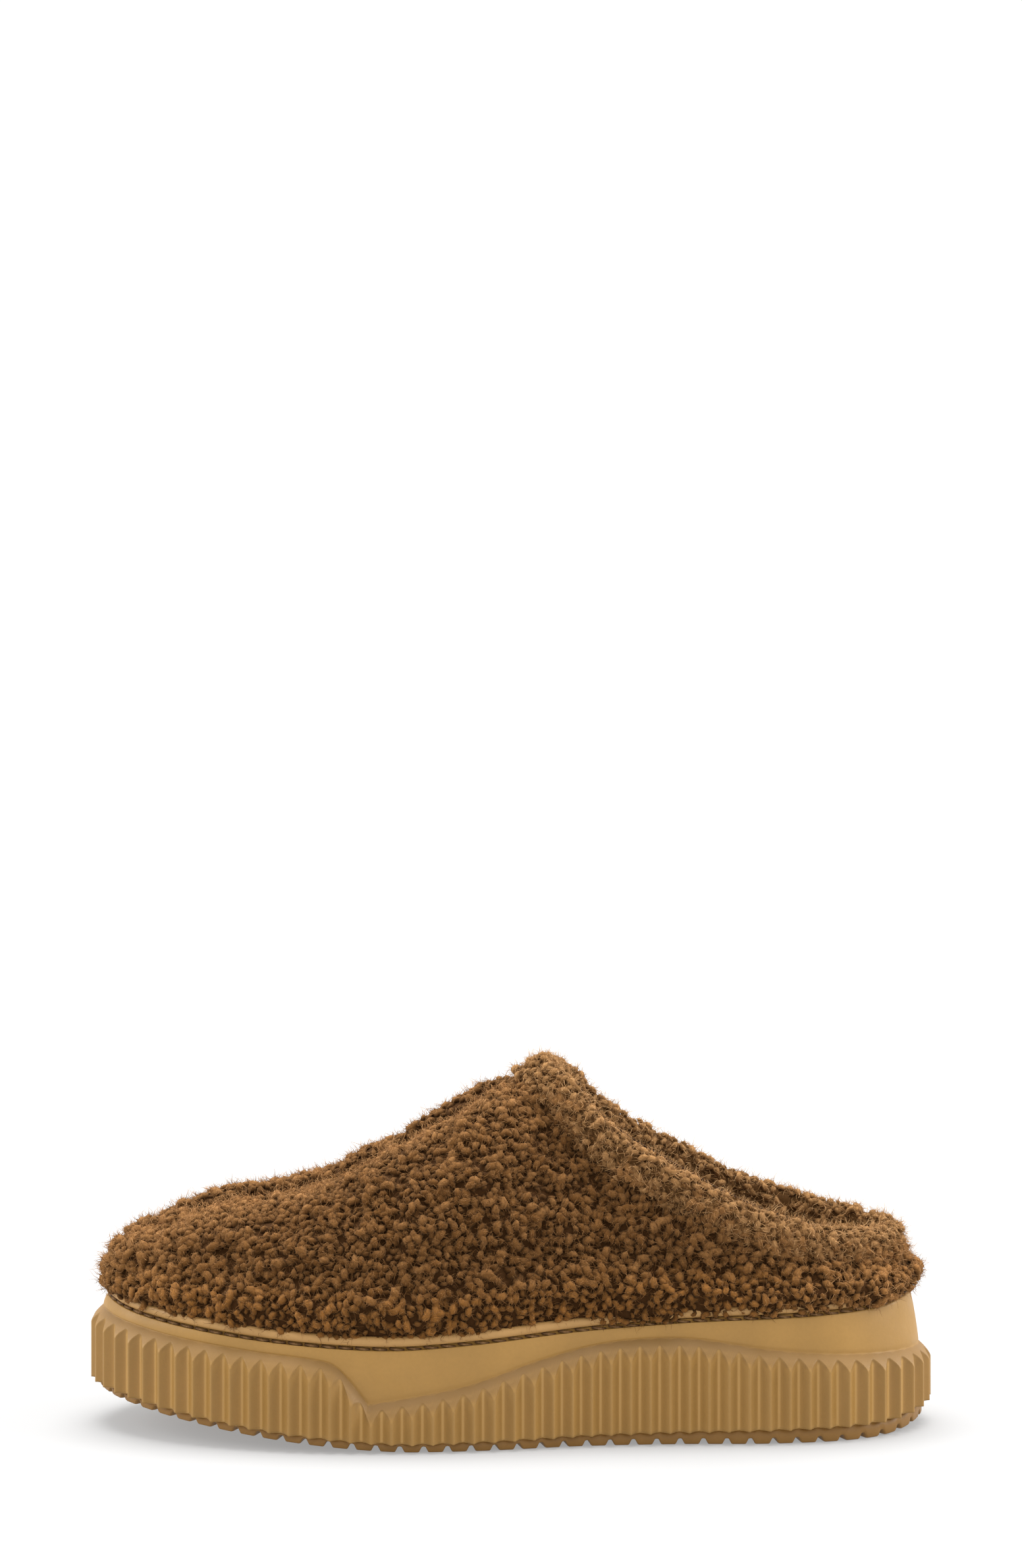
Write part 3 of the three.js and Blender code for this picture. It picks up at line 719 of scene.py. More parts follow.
@dataclass
class Cupsole:
    """The moulded cup: ribs, flared shelf, smooth panel, stitch step and inner wall."""

    shape: SoleShape
    finish: Rubber
    phases: tuple[float, ...] = (-0.5, -0.46, -0.41, -0.3, -0.18, -0.08, -0.035, 0.0, 0.035, 0.08, 0.18, 0.3,
                                 0.41, 0.46)
    rib_rows: tuple[float, ...] = (0.0, 0.03, 0.3, 0.6, 0.9, 0.97, 1.0)
    shelf_rows: tuple[float, ...] = (0.05, 0.15, 0.3, 0.45, 0.6, 0.75, 0.88, 0.97)
    panel_rows: tuple[float, ...] = (0.0, 0.04, 0.12, 0.3, 0.5, 0.7, 0.86, 0.95, 1.0)
    panel_bulge: float = 0.35
    ledge: float = 0.22
    foot_edge: float = 0.4

    def rib_phase(self, part: np.ndarray) -> tuple[np.ndarray, np.ndarray]:
        """Places evenly spaced columns closer together at crests and valleys.

        Args:
            part: Even parts of the way round.

        Returns:
            The true part of the way round, and the phase within the rib, 0 on its crest.
        """
        count = len(self.phases)
        column = np.rint(part * self.shape.ribs * count).astype(int)
        phase = np.array(self.phases)[column % count]
        return (column // count + 0.5 + phase) / self.shape.ribs, phase

    def groove(self, phase: np.ndarray) -> np.ndarray:
        """Returns how deep the wall lies under the crests: a V with a rounded crest and valley."""
        away = np.abs(phase) * 2
        crest = 0.07
        valley = 0.09
        rise = np.clip((away - crest) / (1 - crest - valley), 0, 1)
        return self.shape.rib_depth * (rise + 0.05 * np.sin(np.pi * rise))

    def shelf(self, below: np.ndarray, flare: np.ndarray) -> np.ndarray:
        """Returns how far the flared shelf lies inside the crests, from its depth below the panel."""
        part = np.clip(1 - below / flare, 0, 1)
        return self.shape.rib_stand_out * part**self.shape.flare_power

    def rib_top(self, groove: np.ndarray, flare: np.ndarray) -> np.ndarray:
        """Returns how far below the panel the shelf meets a rib's face, which is lowest on a crest."""
        share = np.clip(groove / self.shape.rib_stand_out, 0, 1)
        return flare * (1 - share ** (1 / self.shape.flare_power))

    def place(self, part: np.ndarray, row: np.ndarray) -> np.ndarray:
        """Places the grid on the cup's surface, from its underside up and over into the cup.

        Args:
            part: Even parts of the way round.
            row: From the underside (0) to the cup's floor (1).
        """
        shape = self.shape
        rows = self.rows
        u, phase = self.rib_phase(part)
        x = shape.outline.at(u)[:, 0]
        step = np.rint(row * (len(rows) - 1)).astype(int)
        zone = np.array([name for name, _ in rows])[step]
        share = np.array([value for _, value in rows])[step]
        foot = shape.rib_foot(x)
        edge = shape.panel_edge(x)
        top = shape.cup_top(x)
        groove = self.groove(phase)
        wavy_foot = foot + shape.rib_foot_lift * groove / shape.rib_depth
        flare = shape.flare(x)
        crease = edge - self.rib_top(groove, flare)
        rib_z = wavy_foot + (crease - wavy_foot) * share
        shelf_z = crease + (edge - crease) * share
        shelf_out = shape.rib_stand_out - self.shelf(edge - shelf_z, flare)
        panel_z = edge + (top - shape.stitch_step - edge) * share
        draft = shape.draft(x)
        ledge = self.ledge * smoothstep(share, -0.02, 0.04) * (1 - 0.7 * smoothstep(share, 0.04, 0.5))
        panel_out = ledge + self.panel_bulge * np.sin(np.pi * share) - draft * share
        step_out = -draft - shape.stitch_step_depth
        inside_out = -shape.wall - draft / 2
        under_out = share * (shape.rib_stand_out - groove - self.foot_edge) - shape.wall * (1 - share)
        step_z = top - shape.stitch_step
        picks = [zone == name for name in ("under", "rib", "shelf", "panel", "step", "rim", "inside")]
        out = np.select(picks, [under_out, shape.rib_stand_out - groove, shelf_out, panel_out,
                                step_out * share - draft * (1 - share),
                                step_out + (inside_out - step_out) * share, inside_out])
        z = np.select(picks, [foot, rib_z, shelf_z, panel_z, step_z, top,
                              top + (foot + shape.floor - top) * share])
        return np.column_stack([shape.outline.at(u, out), z])

    @property
    def rows(self) -> list[tuple[str, float]]:
        """Returns each row's zone and its share of the way through that zone."""
        zones = {
            "under": (0.0, 1.0), "rib": self.rib_rows, "shelf": self.shelf_rows, "panel": self.panel_rows,
            "step": (0.15, 0.9, 1.0), "rim": (0.0, 0.15, 0.85, 1.0), "inside": (0.1, 1.0),
        }
        return [(zone, share) for zone, shares in zones.items() for share in shares]

    def build(self) -> bpy.types.Object:
        """Makes the cup as one closed shape."""
        columns = self.shape.ribs * len(self.phases)
        bm = placed_grid(columns, len(self.rows) - 1, self.place, closed=True)
        rims = [edge for edge in bm.edges if edge.is_boundary]
        bmesh.ops.holes_fill(bm, edges=rims, sides=0)
        face_outwards(bm)
        obj = new_object("cupsole_ribbed", bm, self.finish.material())
        self.mark(obj)
        take_over(obj, "rib_rubber", "ribbed_cupsole")
        return obj

    def mark(self, obj: bpy.types.Object) -> None:
        """Marks the crests (wear and a painted highlight), painted highlights along the valleys, and painted
        shade on the shelf and ribs.
        """
        places = places_of(obj)
        shape = self.shape
        below = shape.panel_edge(places[:, 0]) - places[:, 2]
        out = self.distance_out(places)
        crest = smoothstep(out, shape.rib_stand_out - 0.35, shape.rib_stand_out - 0.05)
        low = smoothstep(below, 0.0, 0.3)
        on_shelf = low * (1 - smoothstep(below, 3.5, 7.0))
        waist = smoothstep(places[:, 0], -75, -40) * (1 - smoothstep(places[:, 0], 70, 110))
        # Painted highlight along the valleys and the groove faces near them, lifting the grooves out of
        # their shade.
        depth = shape.rib_stand_out - out
        sides = 0.12 * smoothstep(depth, 0.9, 2.1) + 0.88 * smoothstep(depth, 2.1, 2.35)
        valley = sides * smoothstep(below, 2.2, 3.0)
        ribs = smoothstep(below, 1.5, 3.0) * (1 - valley)
        # Worn crests with a painted highlight, plus the valleys' painted highlight.
        give_values(obj, "wear", 0.1 * crest * low + 0.8 * valley)
        # Painted shade on the shelf, deeper at the waist, and lighter painted shade over the rib band.
        shelf = (0.7 + 0.2 * waist) * on_shelf * (1 - crest) * (1 - valley)
        give_values(obj, "shelf", np.maximum(shelf, 0.38 * ribs))

    def distance_out(self, places: np.ndarray) -> np.ndarray:
        """Returns how far points lie outside the panel's outline."""
        u = np.linspace(0, 1, 3000, endpoint=False)
        line = self.shape.outline.at(u)
        outer = self.shape.outline.at(u, 1.0) - line
        nearest = np.empty(len(places), int)
        for start in range(0, len(places), 4000):
            part = places[start:start + 4000, None, :2] - line[None]
            nearest[start:start + 4000] = np.argmin((part**2).sum(axis=2), axis=1)
        return ((places[:, :2] - line[nearest]) * outer[nearest]).sum(axis=1)


@dataclass
class Tread:
    """The outsole: a rim of small lugs round the edge and bars across the middle."""

    shape: SoleShape
    finish: Rubber
    pitch: float = 7.3
    phases: tuple[float, ...] = (-0.5, -0.42, -0.36, -0.31, -0.26, -0.1, 0.1, 0.26, 0.31, 0.36, 0.42)
    notch: float = 1.8
    notch_depth: float = 9.0
    stand_out: float = 1.2
    edge_round: float = 0.5
    bar_pitch: float = 10.5
    bar_share: float = 0.62
    bar_skew: float = 0.4
    bar_columns: int = 6
    bar_rows: int = 36
    bars_end: float = 113.0
    bars_taper: float = 20.0

    @property
    def bars(self) -> int:
        """Returns how many bars cross the middle."""
        return round((2 * self.bars_end + 4) / self.bar_pitch)

    def build(self) -> None:
        """Makes the rim and the middle."""
        material = self.finish.material()
        count = round(self.shape.outline.perimeter / self.pitch)
        rim = placed_grid(count * len(self.phases), 9, lambda u, v: self.rim_place(u, v, count), closed=True)
        face_outwards(rim)
        take_over(new_object("tread_lugs_rim", rim, material), "tread_rubber", "outsole_tread")
        bars = placed_grid(self.bars * self.bar_columns, self.bar_rows, self.bar_place)
        middle = new_object("tread_middle", bars, material)
        thicken(middle, 1.2, 1.0)
        take_over(middle, "tread_rubber")

    def rim_place(self, part: np.ndarray, row: np.ndarray, count: int) -> np.ndarray:
        """Places the rim's closed section: down its wall, in under the lugs and back up.

        Args:
            part: Even parts of the way round.
            row: From the top of the wall (0), round the section and back to it (1).
            count: How many lugs go round.
        """
        column = np.rint(part * count * len(self.phases)).astype(int)
        phase = np.array(self.phases)[column % len(self.phases)]
        u = (column // len(self.phases) + 0.5 + phase) / count
        x = self.shape.outline.at(u)[:, 0]
        low = self.shape.ground(x) + self.notch * smoothstep(np.abs(phase), 0.28, 0.45)
        top = self.shape.rib_foot(x) + self.shape.gap / 2
        step = np.rint(row * 9).astype(int) % 9
        out = np.array([1.0, 1.0, 1.0, 0.72, 0.0, -3.0, -self.notch_depth, -self.notch_depth, -4.0])[step]
        out = np.where(out > 0, out * self.stand_out, out)
        up = np.array([0, 0, 1, 1, 1, 1, 1, 0, 0])[step]
        lift = np.array([0, 0, self.edge_round, 0.12, 0, 0, 0, 0, 0])[step]
        half = (top + low) / 2
        z = np.where(up == 1, low + lift, top)
        z = np.where(step == 1, half, z)
        return np.column_stack([self.shape.outline.at(u, out), z])

    def bar_place(self, part: np.ndarray, row: np.ndarray) -> np.ndarray:
        """Places the middle's underside, with bars that bend back at the centre line."""
        step = np.rint(part * self.bars * self.bar_columns).astype(int)
        half = self.bar_share / 2
        phases = np.array([-0.5, -half - 0.06, -half, 0.0, half, half + 0.06])
        phase = phases[step % self.bar_columns]
        across = row * 2 - 1
        inset = -self.notch_depth + 0.5
        x = -self.bars_end + (step // self.bar_columns + 0.5 + phase) * 2 * self.bars_end / self.bars
        low, high = self.shape.outline.width(x, inset)
        y = (low + high) / 2 + across * (high - low) / 2
        fading = np.minimum(1, (self.bars_end - np.abs(x)) / self.bars_taper)
        skew = self.bar_skew * np.abs(y - (low + high) / 2) * fading
        bar = (np.abs(phase) <= half + 0.01) & (np.abs(across) < 0.93)
        z = self.shape.ground(x + skew) + np.where(bar, 0.1, self.notch)
        return np.column_stack([x + skew, y, z])


@dataclass
class RandLip:
    """The rolled bead that holds the fleece against the cup."""

    shape: SoleShape
    finish: Rubber
    columns: int = 640
    sides: int = 12
    out: float = -0.75
    lift: float = 1.75
    uneven: float = 0.18
    tucked_behind: float = 0.9

    def build(self) -> None:
        """Makes the bead as a closed ring."""
        bm = placed_grid(self.columns, self.sides, self.place, closed=True)
        face_outwards(bm)
        take_over(new_object("rand_bead", bm, self.finish.material()), "lip_rubber", "rand_lip")

    def place(self, u: np.ndarray, row: np.ndarray) -> np.ndarray:
        """Places the bead's surface, a little uneven as a bead that was folded by hand."""
        x = self.shape.outline.at(u)[:, 0]
        turn = 2 * np.pi * row
        wave = np.sin(u * 2 * np.pi * 37) * np.sin(u * 2 * np.pi * 11) * self.uneven
        radius = self.shape.lip_radius + wave * 0.5
        tucked = self.tucked_behind * smoothstep(x, 10, 35)
        out = self.out - tucked - self.shape.draft(x) + radius * np.cos(turn)
        z = self.shape.cup_top(x) + self.lift + wave * 0.4 + radius * np.sin(turn)
        return np.column_stack([self.shape.outline.at(u, out), z])


@dataclass
class SidewallStitch:
    """One row of stitches round the cup's step."""

    shape: SoleShape
    finish: Thread
    pitch: float = 5.3
    length: float = 4.5
    radius: float = 0.42
    sink: float = 0.35
    drop: float = 0.55
    sides: int = 6
    steps: int = 6

    def build(self) -> None:
        """Sets one bent stitch after another round the outline."""
        stitch = self.template()
        ends = [abs(vert.co.x) / (self.length * MM / 2) for vert in stitch.vertices]
        bm = bmesh.new()
        count = round(self.shape.outline.perimeter / self.pitch)
        for number in range(count):
            start = len(bm.verts)
            bm.from_mesh(stitch)
            bm.verts.ensure_lookup_table()
            bmesh.ops.transform(bm, matrix=self.frame(number / count), verts=bm.verts[start:])
        bpy.data.meshes.remove(stitch)
        obj = new_object("cup_stitches", bm, self.finish.material())
        # Painted highlight on each stitch's raised middle, painted shade at its ends that sink into the
        # channel.
        give_values(obj, "tone", np.tile(np.clip(0.95 - 1.1 * np.array(ends), 0, 1), count))
        take_over(obj, "thread", "sidewall_stitch")

    def template(self) -> bpy.types.Mesh:
        """Returns one stitch along X, its ends bent into the cup."""
        bm = bmesh.new()
        bend = 0.9
        reach = self.length / bend
        ring = bmesh.ops.create_circle(bm, segments=self.sides, radius=self.radius, cap_ends=False)["verts"]
        bmesh.ops.rotate(bm, verts=ring, matrix=Matrix.Rotation(math.pi / 2, 3, "X"))
        bmesh.ops.translate(bm, verts=ring, vec=(reach, 0, 0))
        bmesh.ops.rotate(bm, verts=ring, matrix=Matrix.Rotation(math.pi / 2 - bend / 2, 3, "Z"))
        bmesh.ops.spin(bm, geom=[*bm.verts, *bm.edges], cent=(0, 0, 0), axis=(0, 0, 1), angle=bend,
                       steps=self.steps)
        bmesh.ops.holes_fill(bm, edges=[edge for edge in bm.edges if edge.is_boundary], sides=0)
        bmesh.ops.translate(bm, verts=bm.verts, vec=(0, -reach, 0))
        return small_shape("stitch", bm)

    def frame(self, u: float) -> Matrix:
        """Returns the place and turn of the stitch at one part of the way round."""
        here = np.array([u])
        x = self.shape.outline.at(here)[:, 0]
        out = -self.shape.draft(x) - self.sink
        ways = [self.shape.outline.at(np.array([u + d]), out)[0] for d in (-0.002, 0.0, 0.002)]
        along = Vector((*(ways[2] - ways[0]), 0)).normalized()
        outward = Vector((along.y, -along.x, 0))
        middle = Vector((*ways[1], float(self.shape.cup_top(x)[0]) - self.drop)) * MM
        slant = Matrix.Rotation(math.radians(-7), 4, outward)
        turn = Matrix((along, outward, Vector((0, 0, 1)))).transposed().to_4x4()
        return Matrix.Translation(middle) @ slant @ turn


# ---- Fleece ----


@dataclass(frozen=True)
class Curl:
    """One tuft of wool: a tapered tube bent into a hook."""

    bend: float
    thickness: float
    arc: float
    drift: float
    lean: float
    closing: float = 0.35
    buried: float = 0.8
    sides: int = 5
    steps: int = 5

    def build(self, name: str) -> bpy.types.Mesh:
        """Makes the tuft, standing on the origin."""
        bm = bmesh.new()
        strand = bm.verts.layers.float_vector.new("strand")
        arc = math.radians(self.arc)
        ring = bmesh.ops.create_circle(bm, segments=self.sides, radius=self.thickness, cap_ends=False)
        bmesh.ops.translate(bm, verts=ring["verts"], vec=(self.bend, 0, 0))
        bmesh.ops.spin(bm, geom=[*bm.verts, *bm.edges], cent=(0, 0, 0), axis=(0, 1, 0), angle=-arc,
                       steps=self.steps)
        for vert in bm.verts:
            turn = math.atan2(vert.co.z, vert.co.x) % (2 * math.pi)
            part = turn / arc if turn < arc + 0.2 else 0.0
            middle = Vector((math.cos(turn), 0, math.sin(turn))) * self.bend
            off = vert.co - middle
            taper = 0.35 + 0.75 * math.sin(math.pi * (0.12 + 0.76 * part))
            vert[strand] = (off.dot(middle) / self.bend, off.y, part)
            vert.co = middle * (1 - self.closing * part) + off * taper + Vector((0, self.drift * part, 0))
        bmesh.ops.holes_fill(bm, edges=[edge for edge in bm.edges if edge.is_boundary], sides=0)
        bmesh.ops.rotate(bm, verts=bm.verts, matrix=Matrix.Rotation(arc / 2 - math.pi / 2, 3, "Y"))
        bmesh.ops.rotate(bm, verts=bm.verts, matrix=Matrix.Rotation(math.radians(self.lean), 3, "X"))
        lowest = min(vert.co.z for vert in bm.verts)
        bmesh.ops.translate(bm, verts=bm.verts, vec=(0, 0, -lowest - self.buried))
        return small_shape(name, bm)


@dataclass(frozen=True)
class Hair:
    """One fine bent fibre, thick at its root and pointed at its tip."""

    length: float
    thickness: float
    bend: float

    def build(self, name: str) -> bpy.types.Mesh:
        """Makes the fibre, standing on the origin."""
        bm = bmesh.new()
        bmesh.ops.create_cone(bm, cap_ends=True, segments=3, radius1=self.thickness, radius2=0.02,
                              depth=self.length)
        bmesh.ops.bisect_plane(bm, geom=[*bm.verts, *bm.edges, *bm.faces], plane_co=(0, 0, 0.05),
                               plane_no=(0, 0, 1))
        bmesh.ops.translate(bm, verts=bm.verts, vec=(0, 0, self.length / 2))
        for vert in bm.verts:
            part = vert.co.z / self.length
            vert.co.x += self.bend * part * part
            vert.co.z *= 1 - 0.25 * part * part
        return small_shape(name, bm)


@dataclass
class Scatter:
    """Sets many copies of small shapes on a surface, and makes the result one plain mesh."""

    shapes: Sequence[Curl | Hair]
    spacing: float
    tilt: float
    smallest: float
    largest: float
    above: float = 0.0
    measured: bool = True
    sized_by: str = "size"

    def on(self, ground: bpy.types.Object, name: str, seed: int,
           material: bpy.types.Material) -> bpy.types.Object:
        """Covers a surface.

        Args:
            ground: The surface, with the copies' sizes on its vertices.
            name: The new piece's name.
            seed: Which scatter it is.
            material: The new piece's finish.

        Returns:
            The new piece, with tone on its vertices, and height if it is measured.
        """
        collection = bpy.data.collections.new(name + "_shapes")
        for number, shape in enumerate(self.shapes):
            label = f"{name}_shape_{number}"
            collection.objects.link(bpy.data.objects.new(label, shape.build(label)))
        group = self.node_group(collection, seed)
        modifier = ground.modifiers.new("scatter", "NODES")
        modifier.node_group = group
        graph = bpy.context.evaluated_depsgraph_get()
        mesh = bpy.data.meshes.new_from_object(ground.evaluated_get(graph))
        ground.modifiers.remove(modifier)
        for loose in list(collection.objects):
            bpy.data.meshes.remove(loose.data)
        bpy.data.collections.remove(collection)
        bpy.data.node_groups.remove(group)
        mesh.name = name
        mesh.materials.clear()
        mesh.materials.append(material)
        piece = bpy.data.objects.new(name, mesh)
        bpy.context.scene.collection.objects.link(piece)
        return piece

    def node_group(self, collection: bpy.types.Collection, seed: int) -> bpy.types.NodeTree:
        """Wires the scatter: points, turns, sizes, copies and the numbers that the finish reads.

        Args:
            collection: The shapes to copy.
            seed: Which scatter it is.

        Returns:
            The node group.
        """
        group = bpy.data.node_groups.new("scatter", "GeometryNodeTree")
        group.interface.new_socket("Geometry", in_out="INPUT", socket_type="NodeSocketGeometry")
        group.interface.new_socket("Geometry", in_out="OUTPUT", socket_type="NodeSocketGeometry")
        node, link = group.nodes.new, group.links.new
        start = node("NodeGroupInput").outputs[0]
        points = node("GeometryNodeDistributePointsOnFaces")
        points.distribute_method = "POISSON"
        points.inputs["Distance Min"].default_value = self.spacing * MM
        points.inputs["Density Max"].default_value = 3.0 / (self.spacing * MM) ** 2
        points.inputs["Seed"].default_value = seed
        link(start, points.inputs["Mesh"])
        if self.above:
            link(self.high_enough(group), points.inputs["Selection"])
        turn = self.random(group, "FLOAT_VECTOR", seed + 1, (-self.tilt, -self.tilt, 0),
                           (self.tilt, self.tilt, 2 * math.pi))
        turned = node("FunctionNodeRotateRotation")
        turned.rotation_space = "LOCAL"
        link(points.outputs["Rotation"], turned.inputs["Rotation"])
        link(turn, turned.inputs["Rotate By"])
        size = node("ShaderNodeMath")
        size.operation = "MULTIPLY"
        given = node("GeometryNodeInputNamedAttribute")
        given.inputs["Name"].default_value = self.sized_by
        link(self.random(group, "FLOAT", seed + 2, self.smallest, self.largest), size.inputs[0])
        link(given.outputs["Attribute"], size.inputs[1])
        picked = node("GeometryNodeCollectionInfo")
        picked.inputs["Collection"].default_value = collection
        picked.inputs["Separate Children"].default_value = True
        picked.inputs["Reset Children"].default_value = True
        copies = node("GeometryNodeInstanceOnPoints")
        copies.inputs["Pick Instance"].default_value = True
        link(points.outputs["Points"], copies.inputs["Points"])
        link(picked.outputs["Instances"], copies.inputs["Instance"])
        link(self.random(group, "INT", seed + 3, 0, len(self.shapes) - 1), copies.inputs["Instance Index"])
        link(turned.outputs["Rotation"], copies.inputs["Rotation"])
        link(size.outputs["Value"], copies.inputs["Scale"])
        toned = self.stored(group, "tone", "INSTANCE", copies.outputs["Instances"],
                            self.random(group, "FLOAT", seed + 4, 0.0, 1.0))
        real = node("GeometryNodeRealizeInstances")
        link(toned, real.inputs["Geometry"])
        done = real.outputs["Geometry"]
        if self.measured:
            near = node("GeometryNodeProximity")
            near.target_element = "FACES"
            link(start, near.inputs[0])
            done = self.stored(group, "height", "POINT", done, near.outputs["Distance"])
        link(done, node("NodeGroupOutput").inputs[0])
        return group

    def high_enough(self, group: bpy.types.NodeTree) -> bpy.types.NodeSocket:
        """Picks the parts of the ground that stand over the backing, where a fibre would show."""
        height = group.nodes.new("GeometryNodeInputNamedAttribute")
        height.inputs["Name"].default_value = "height"
        test = group.nodes.new("FunctionNodeCompare")
        test.inputs[1].default_value = self.above * MM
        group.links.new(height.outputs["Attribute"], test.inputs[0])
        return test.outputs["Result"]

    @staticmethod
    def random(group: bpy.types.NodeTree, kind: str, seed: int, low: object,
               high: object) -> bpy.types.NodeSocket:
        """Adds a random value between two others.

        Args:
            group: The node group.
            kind: The value's data type.
            seed: Which draw it is.
            low: The least.
            high: The most.

        Returns:
            The value's socket.
        """
        made = group.nodes.new("FunctionNodeRandomValue")
        made.data_type = kind
        shown = [socket for socket in made.inputs if socket.enabled]
        shown[0].default_value = low
        shown[1].default_value = high
        made.inputs["Seed"].default_value = seed
        return next(socket for socket in made.outputs if socket.enabled)

    @staticmethod
    def stored(group: bpy.types.NodeTree, name: str, domain: str, geometry: bpy.types.NodeSocket,
               value: bpy.types.NodeSocket) -> bpy.types.NodeSocket:
        """Keeps a number on the geometry under a name.

        Args:
            group: The node group.
            name: The number's name.
            domain: What it is kept on.
            geometry: The geometry.
            value: The number.

        Returns:
            The geometry with the number.
        """
        made = group.nodes.new("GeometryNodeStoreNamedAttribute")
        made.data_type = "FLOAT"
        made.domain = domain
        made.inputs["Name"].default_value = name
        group.links.new(geometry, made.inputs["Geometry"])
        group.links.new(value, made.inputs["Value"])
        return made.outputs["Geometry"]


@dataclass
class Fibres:
    """The fine loose fibres that stand from the curls, in a few plain tones."""

    name: str
    colors: dict[str, tuple[float, float, float]]
    spacing: float = 0.9
    above: float = 1.1
    tilt: float = 1.25
    spread: dict[str, tuple[float, float]] = field(default_factory=lambda: {
        "light": (0.6, 0.8), "middle": (0.95, 0.1), "dark": (1.2, -0.6)})
    hairs: tuple[Hair, ...] = (Hair(2.3, 0.075, 1.2), Hair(1.8, 0.07, -1.1), Hair(2.8, 0.065, 1.7))

    def grow(self, grounds: Sequence[bpy.types.Object], label: str, seed: int) -> None:
        """Makes one piece of fibres for each tone.

        Args:
            grounds: The curls that the fibres grow from.
            label: Where they are, for the pieces' names.
            seed: Which scatter it is.
        """
        for number, (tone, color) in enumerate(self.colors.items()):
            material = self.material(f"{self.name}_{tone}", color)
            parts = []
            for place, ground in enumerate(grounds):
                scatter = Scatter(self.hairs, self.spacing, self.tilt, 0.75, 1.25, self.above, False,
                                  f"size_{tone}")
                parts.append(scatter.on(ground, f"part_{place}", seed + 37 * number + 7 * place, material))
            take_over(joined(parts, f"fibres_{label}_{tone}"), "fleece")

    @staticmethod
    def material(name: str, color: tuple[float, float, float]) -> bpy.types.Material:
        """Returns the finish of one tone, made once."""
        if name in bpy.data.materials:
            return bpy.data.materials[name]
        wiring = Wiring(name)
        wiring.plain(Base_Color=(*color, 1.0), Roughness=0.7, Specular_IOR_Level=0.1, Sheen_Weight=0.14,
                     Sheen_Tint=(0.85, 0.56, 0.3, 1.0))
        return wiring.material


@dataclass
class Pile:
    """Where the fleece's backing lies: under the skin, in soft lumps, with a groove along the seam."""

    shape: UpperShape
    sunk: float = 4.5
    lump: float = 2.08
    lump_size: float = 11.0
    small_lump: float = 0.5
    small_lump_size: float = 4.5
    seam_dip: float = 3.4
    seam_width: float = 3.4
    seam_puff: float = 0.3
    seam_puff_uneven: float = 1.5
    near_collar: float = 2.3
    puff_away: float = 9.0
    puff_width: float = 6.5
    foot_puff: float = 4.2
    toe_puff: float = 2.4
    toe_puff_at: tuple[float, float] = (56.0, 6.0)  # height and spread
    crown_dip: float = 1.2
    crown_dip_at: tuple[float, float] = (68.0, 4.0)
    below: float = 0.05

    def place(self, side: Side, s: np.ndarray, t: np.ndarray) -> np.ndarray:
        """Returns the backing's points, which hang below the foot where t is negative.

        Args:
            side: Which half of the upper.
            s: From the toe seam (0) to the heel seam (1).
            t: From below the cup's lip (under 0) to the seam or the mouth (1).
        """
        held = np.maximum(t, 0)
        skin = self.shape.skin(side, s, held)
        normal = self.shape.normal(side, s, np.maximum(held, 0.01))
        foot = self.foot_puff * (1 - smoothstep(held, 0.04, 0.24))
        top = self.near_collar * smoothstep(held, 0.7, 0.93) * smoothstep(s, 0.36, 0.46)
        raised = skin + normal * (self.relief(skin) + foot + top - self.sunk)[:, None]
        over = np.maximum(-t, 0) / self.below
        hang = self.shape.hang(skin[:, 0])
        raised[:, 2] -= hang * over
        raised[:, :2] -= normal[:, :2] * (0.9 * over * over)[:, None]
        self.shape.meet_at_seams(side, s, t, raised, 0.0)
        return raised

    def relief(self, skin: np.ndarray) -> np.ndarray:
        """Returns the lumps, the groove and puffs along the front seam, and the toe's bulge."""
        shift = Vector((7, 3, 1))
        lumps = np.array([noise.noise(Vector(point) / self.lump_size) for point in skin])
        small = np.array([noise.noise(Vector(point) / self.small_lump_size + shift) for point in skin])
        front = 1 - smoothstep(skin[:, 0], 4, 22)
        away = np.abs(skin[:, 1])
        dip = self.seam_dip * bell(away, 0, self.seam_width) * front
        height = self.seam_puff + self.seam_puff_uneven * np.tanh(skin[:, 1] / 3)
        puff = height * bell(away, self.puff_away, self.puff_width) * front
        high = smoothstep(skin[:, 2], 62, 76)
        toe = bell(skin[:, 2], *self.toe_puff_at) * (1 - smoothstep(skin[:, 0], -124, -104))
        crown = bell(skin[:, 2], *self.crown_dip_at) * (1 - smoothstep(skin[:, 0], -112, -95))
        bulge = self.toe_puff * toe - self.crown_dip * crown
        return self.lump * lumps + self.small_lump * small - dip + puff * high + bulge


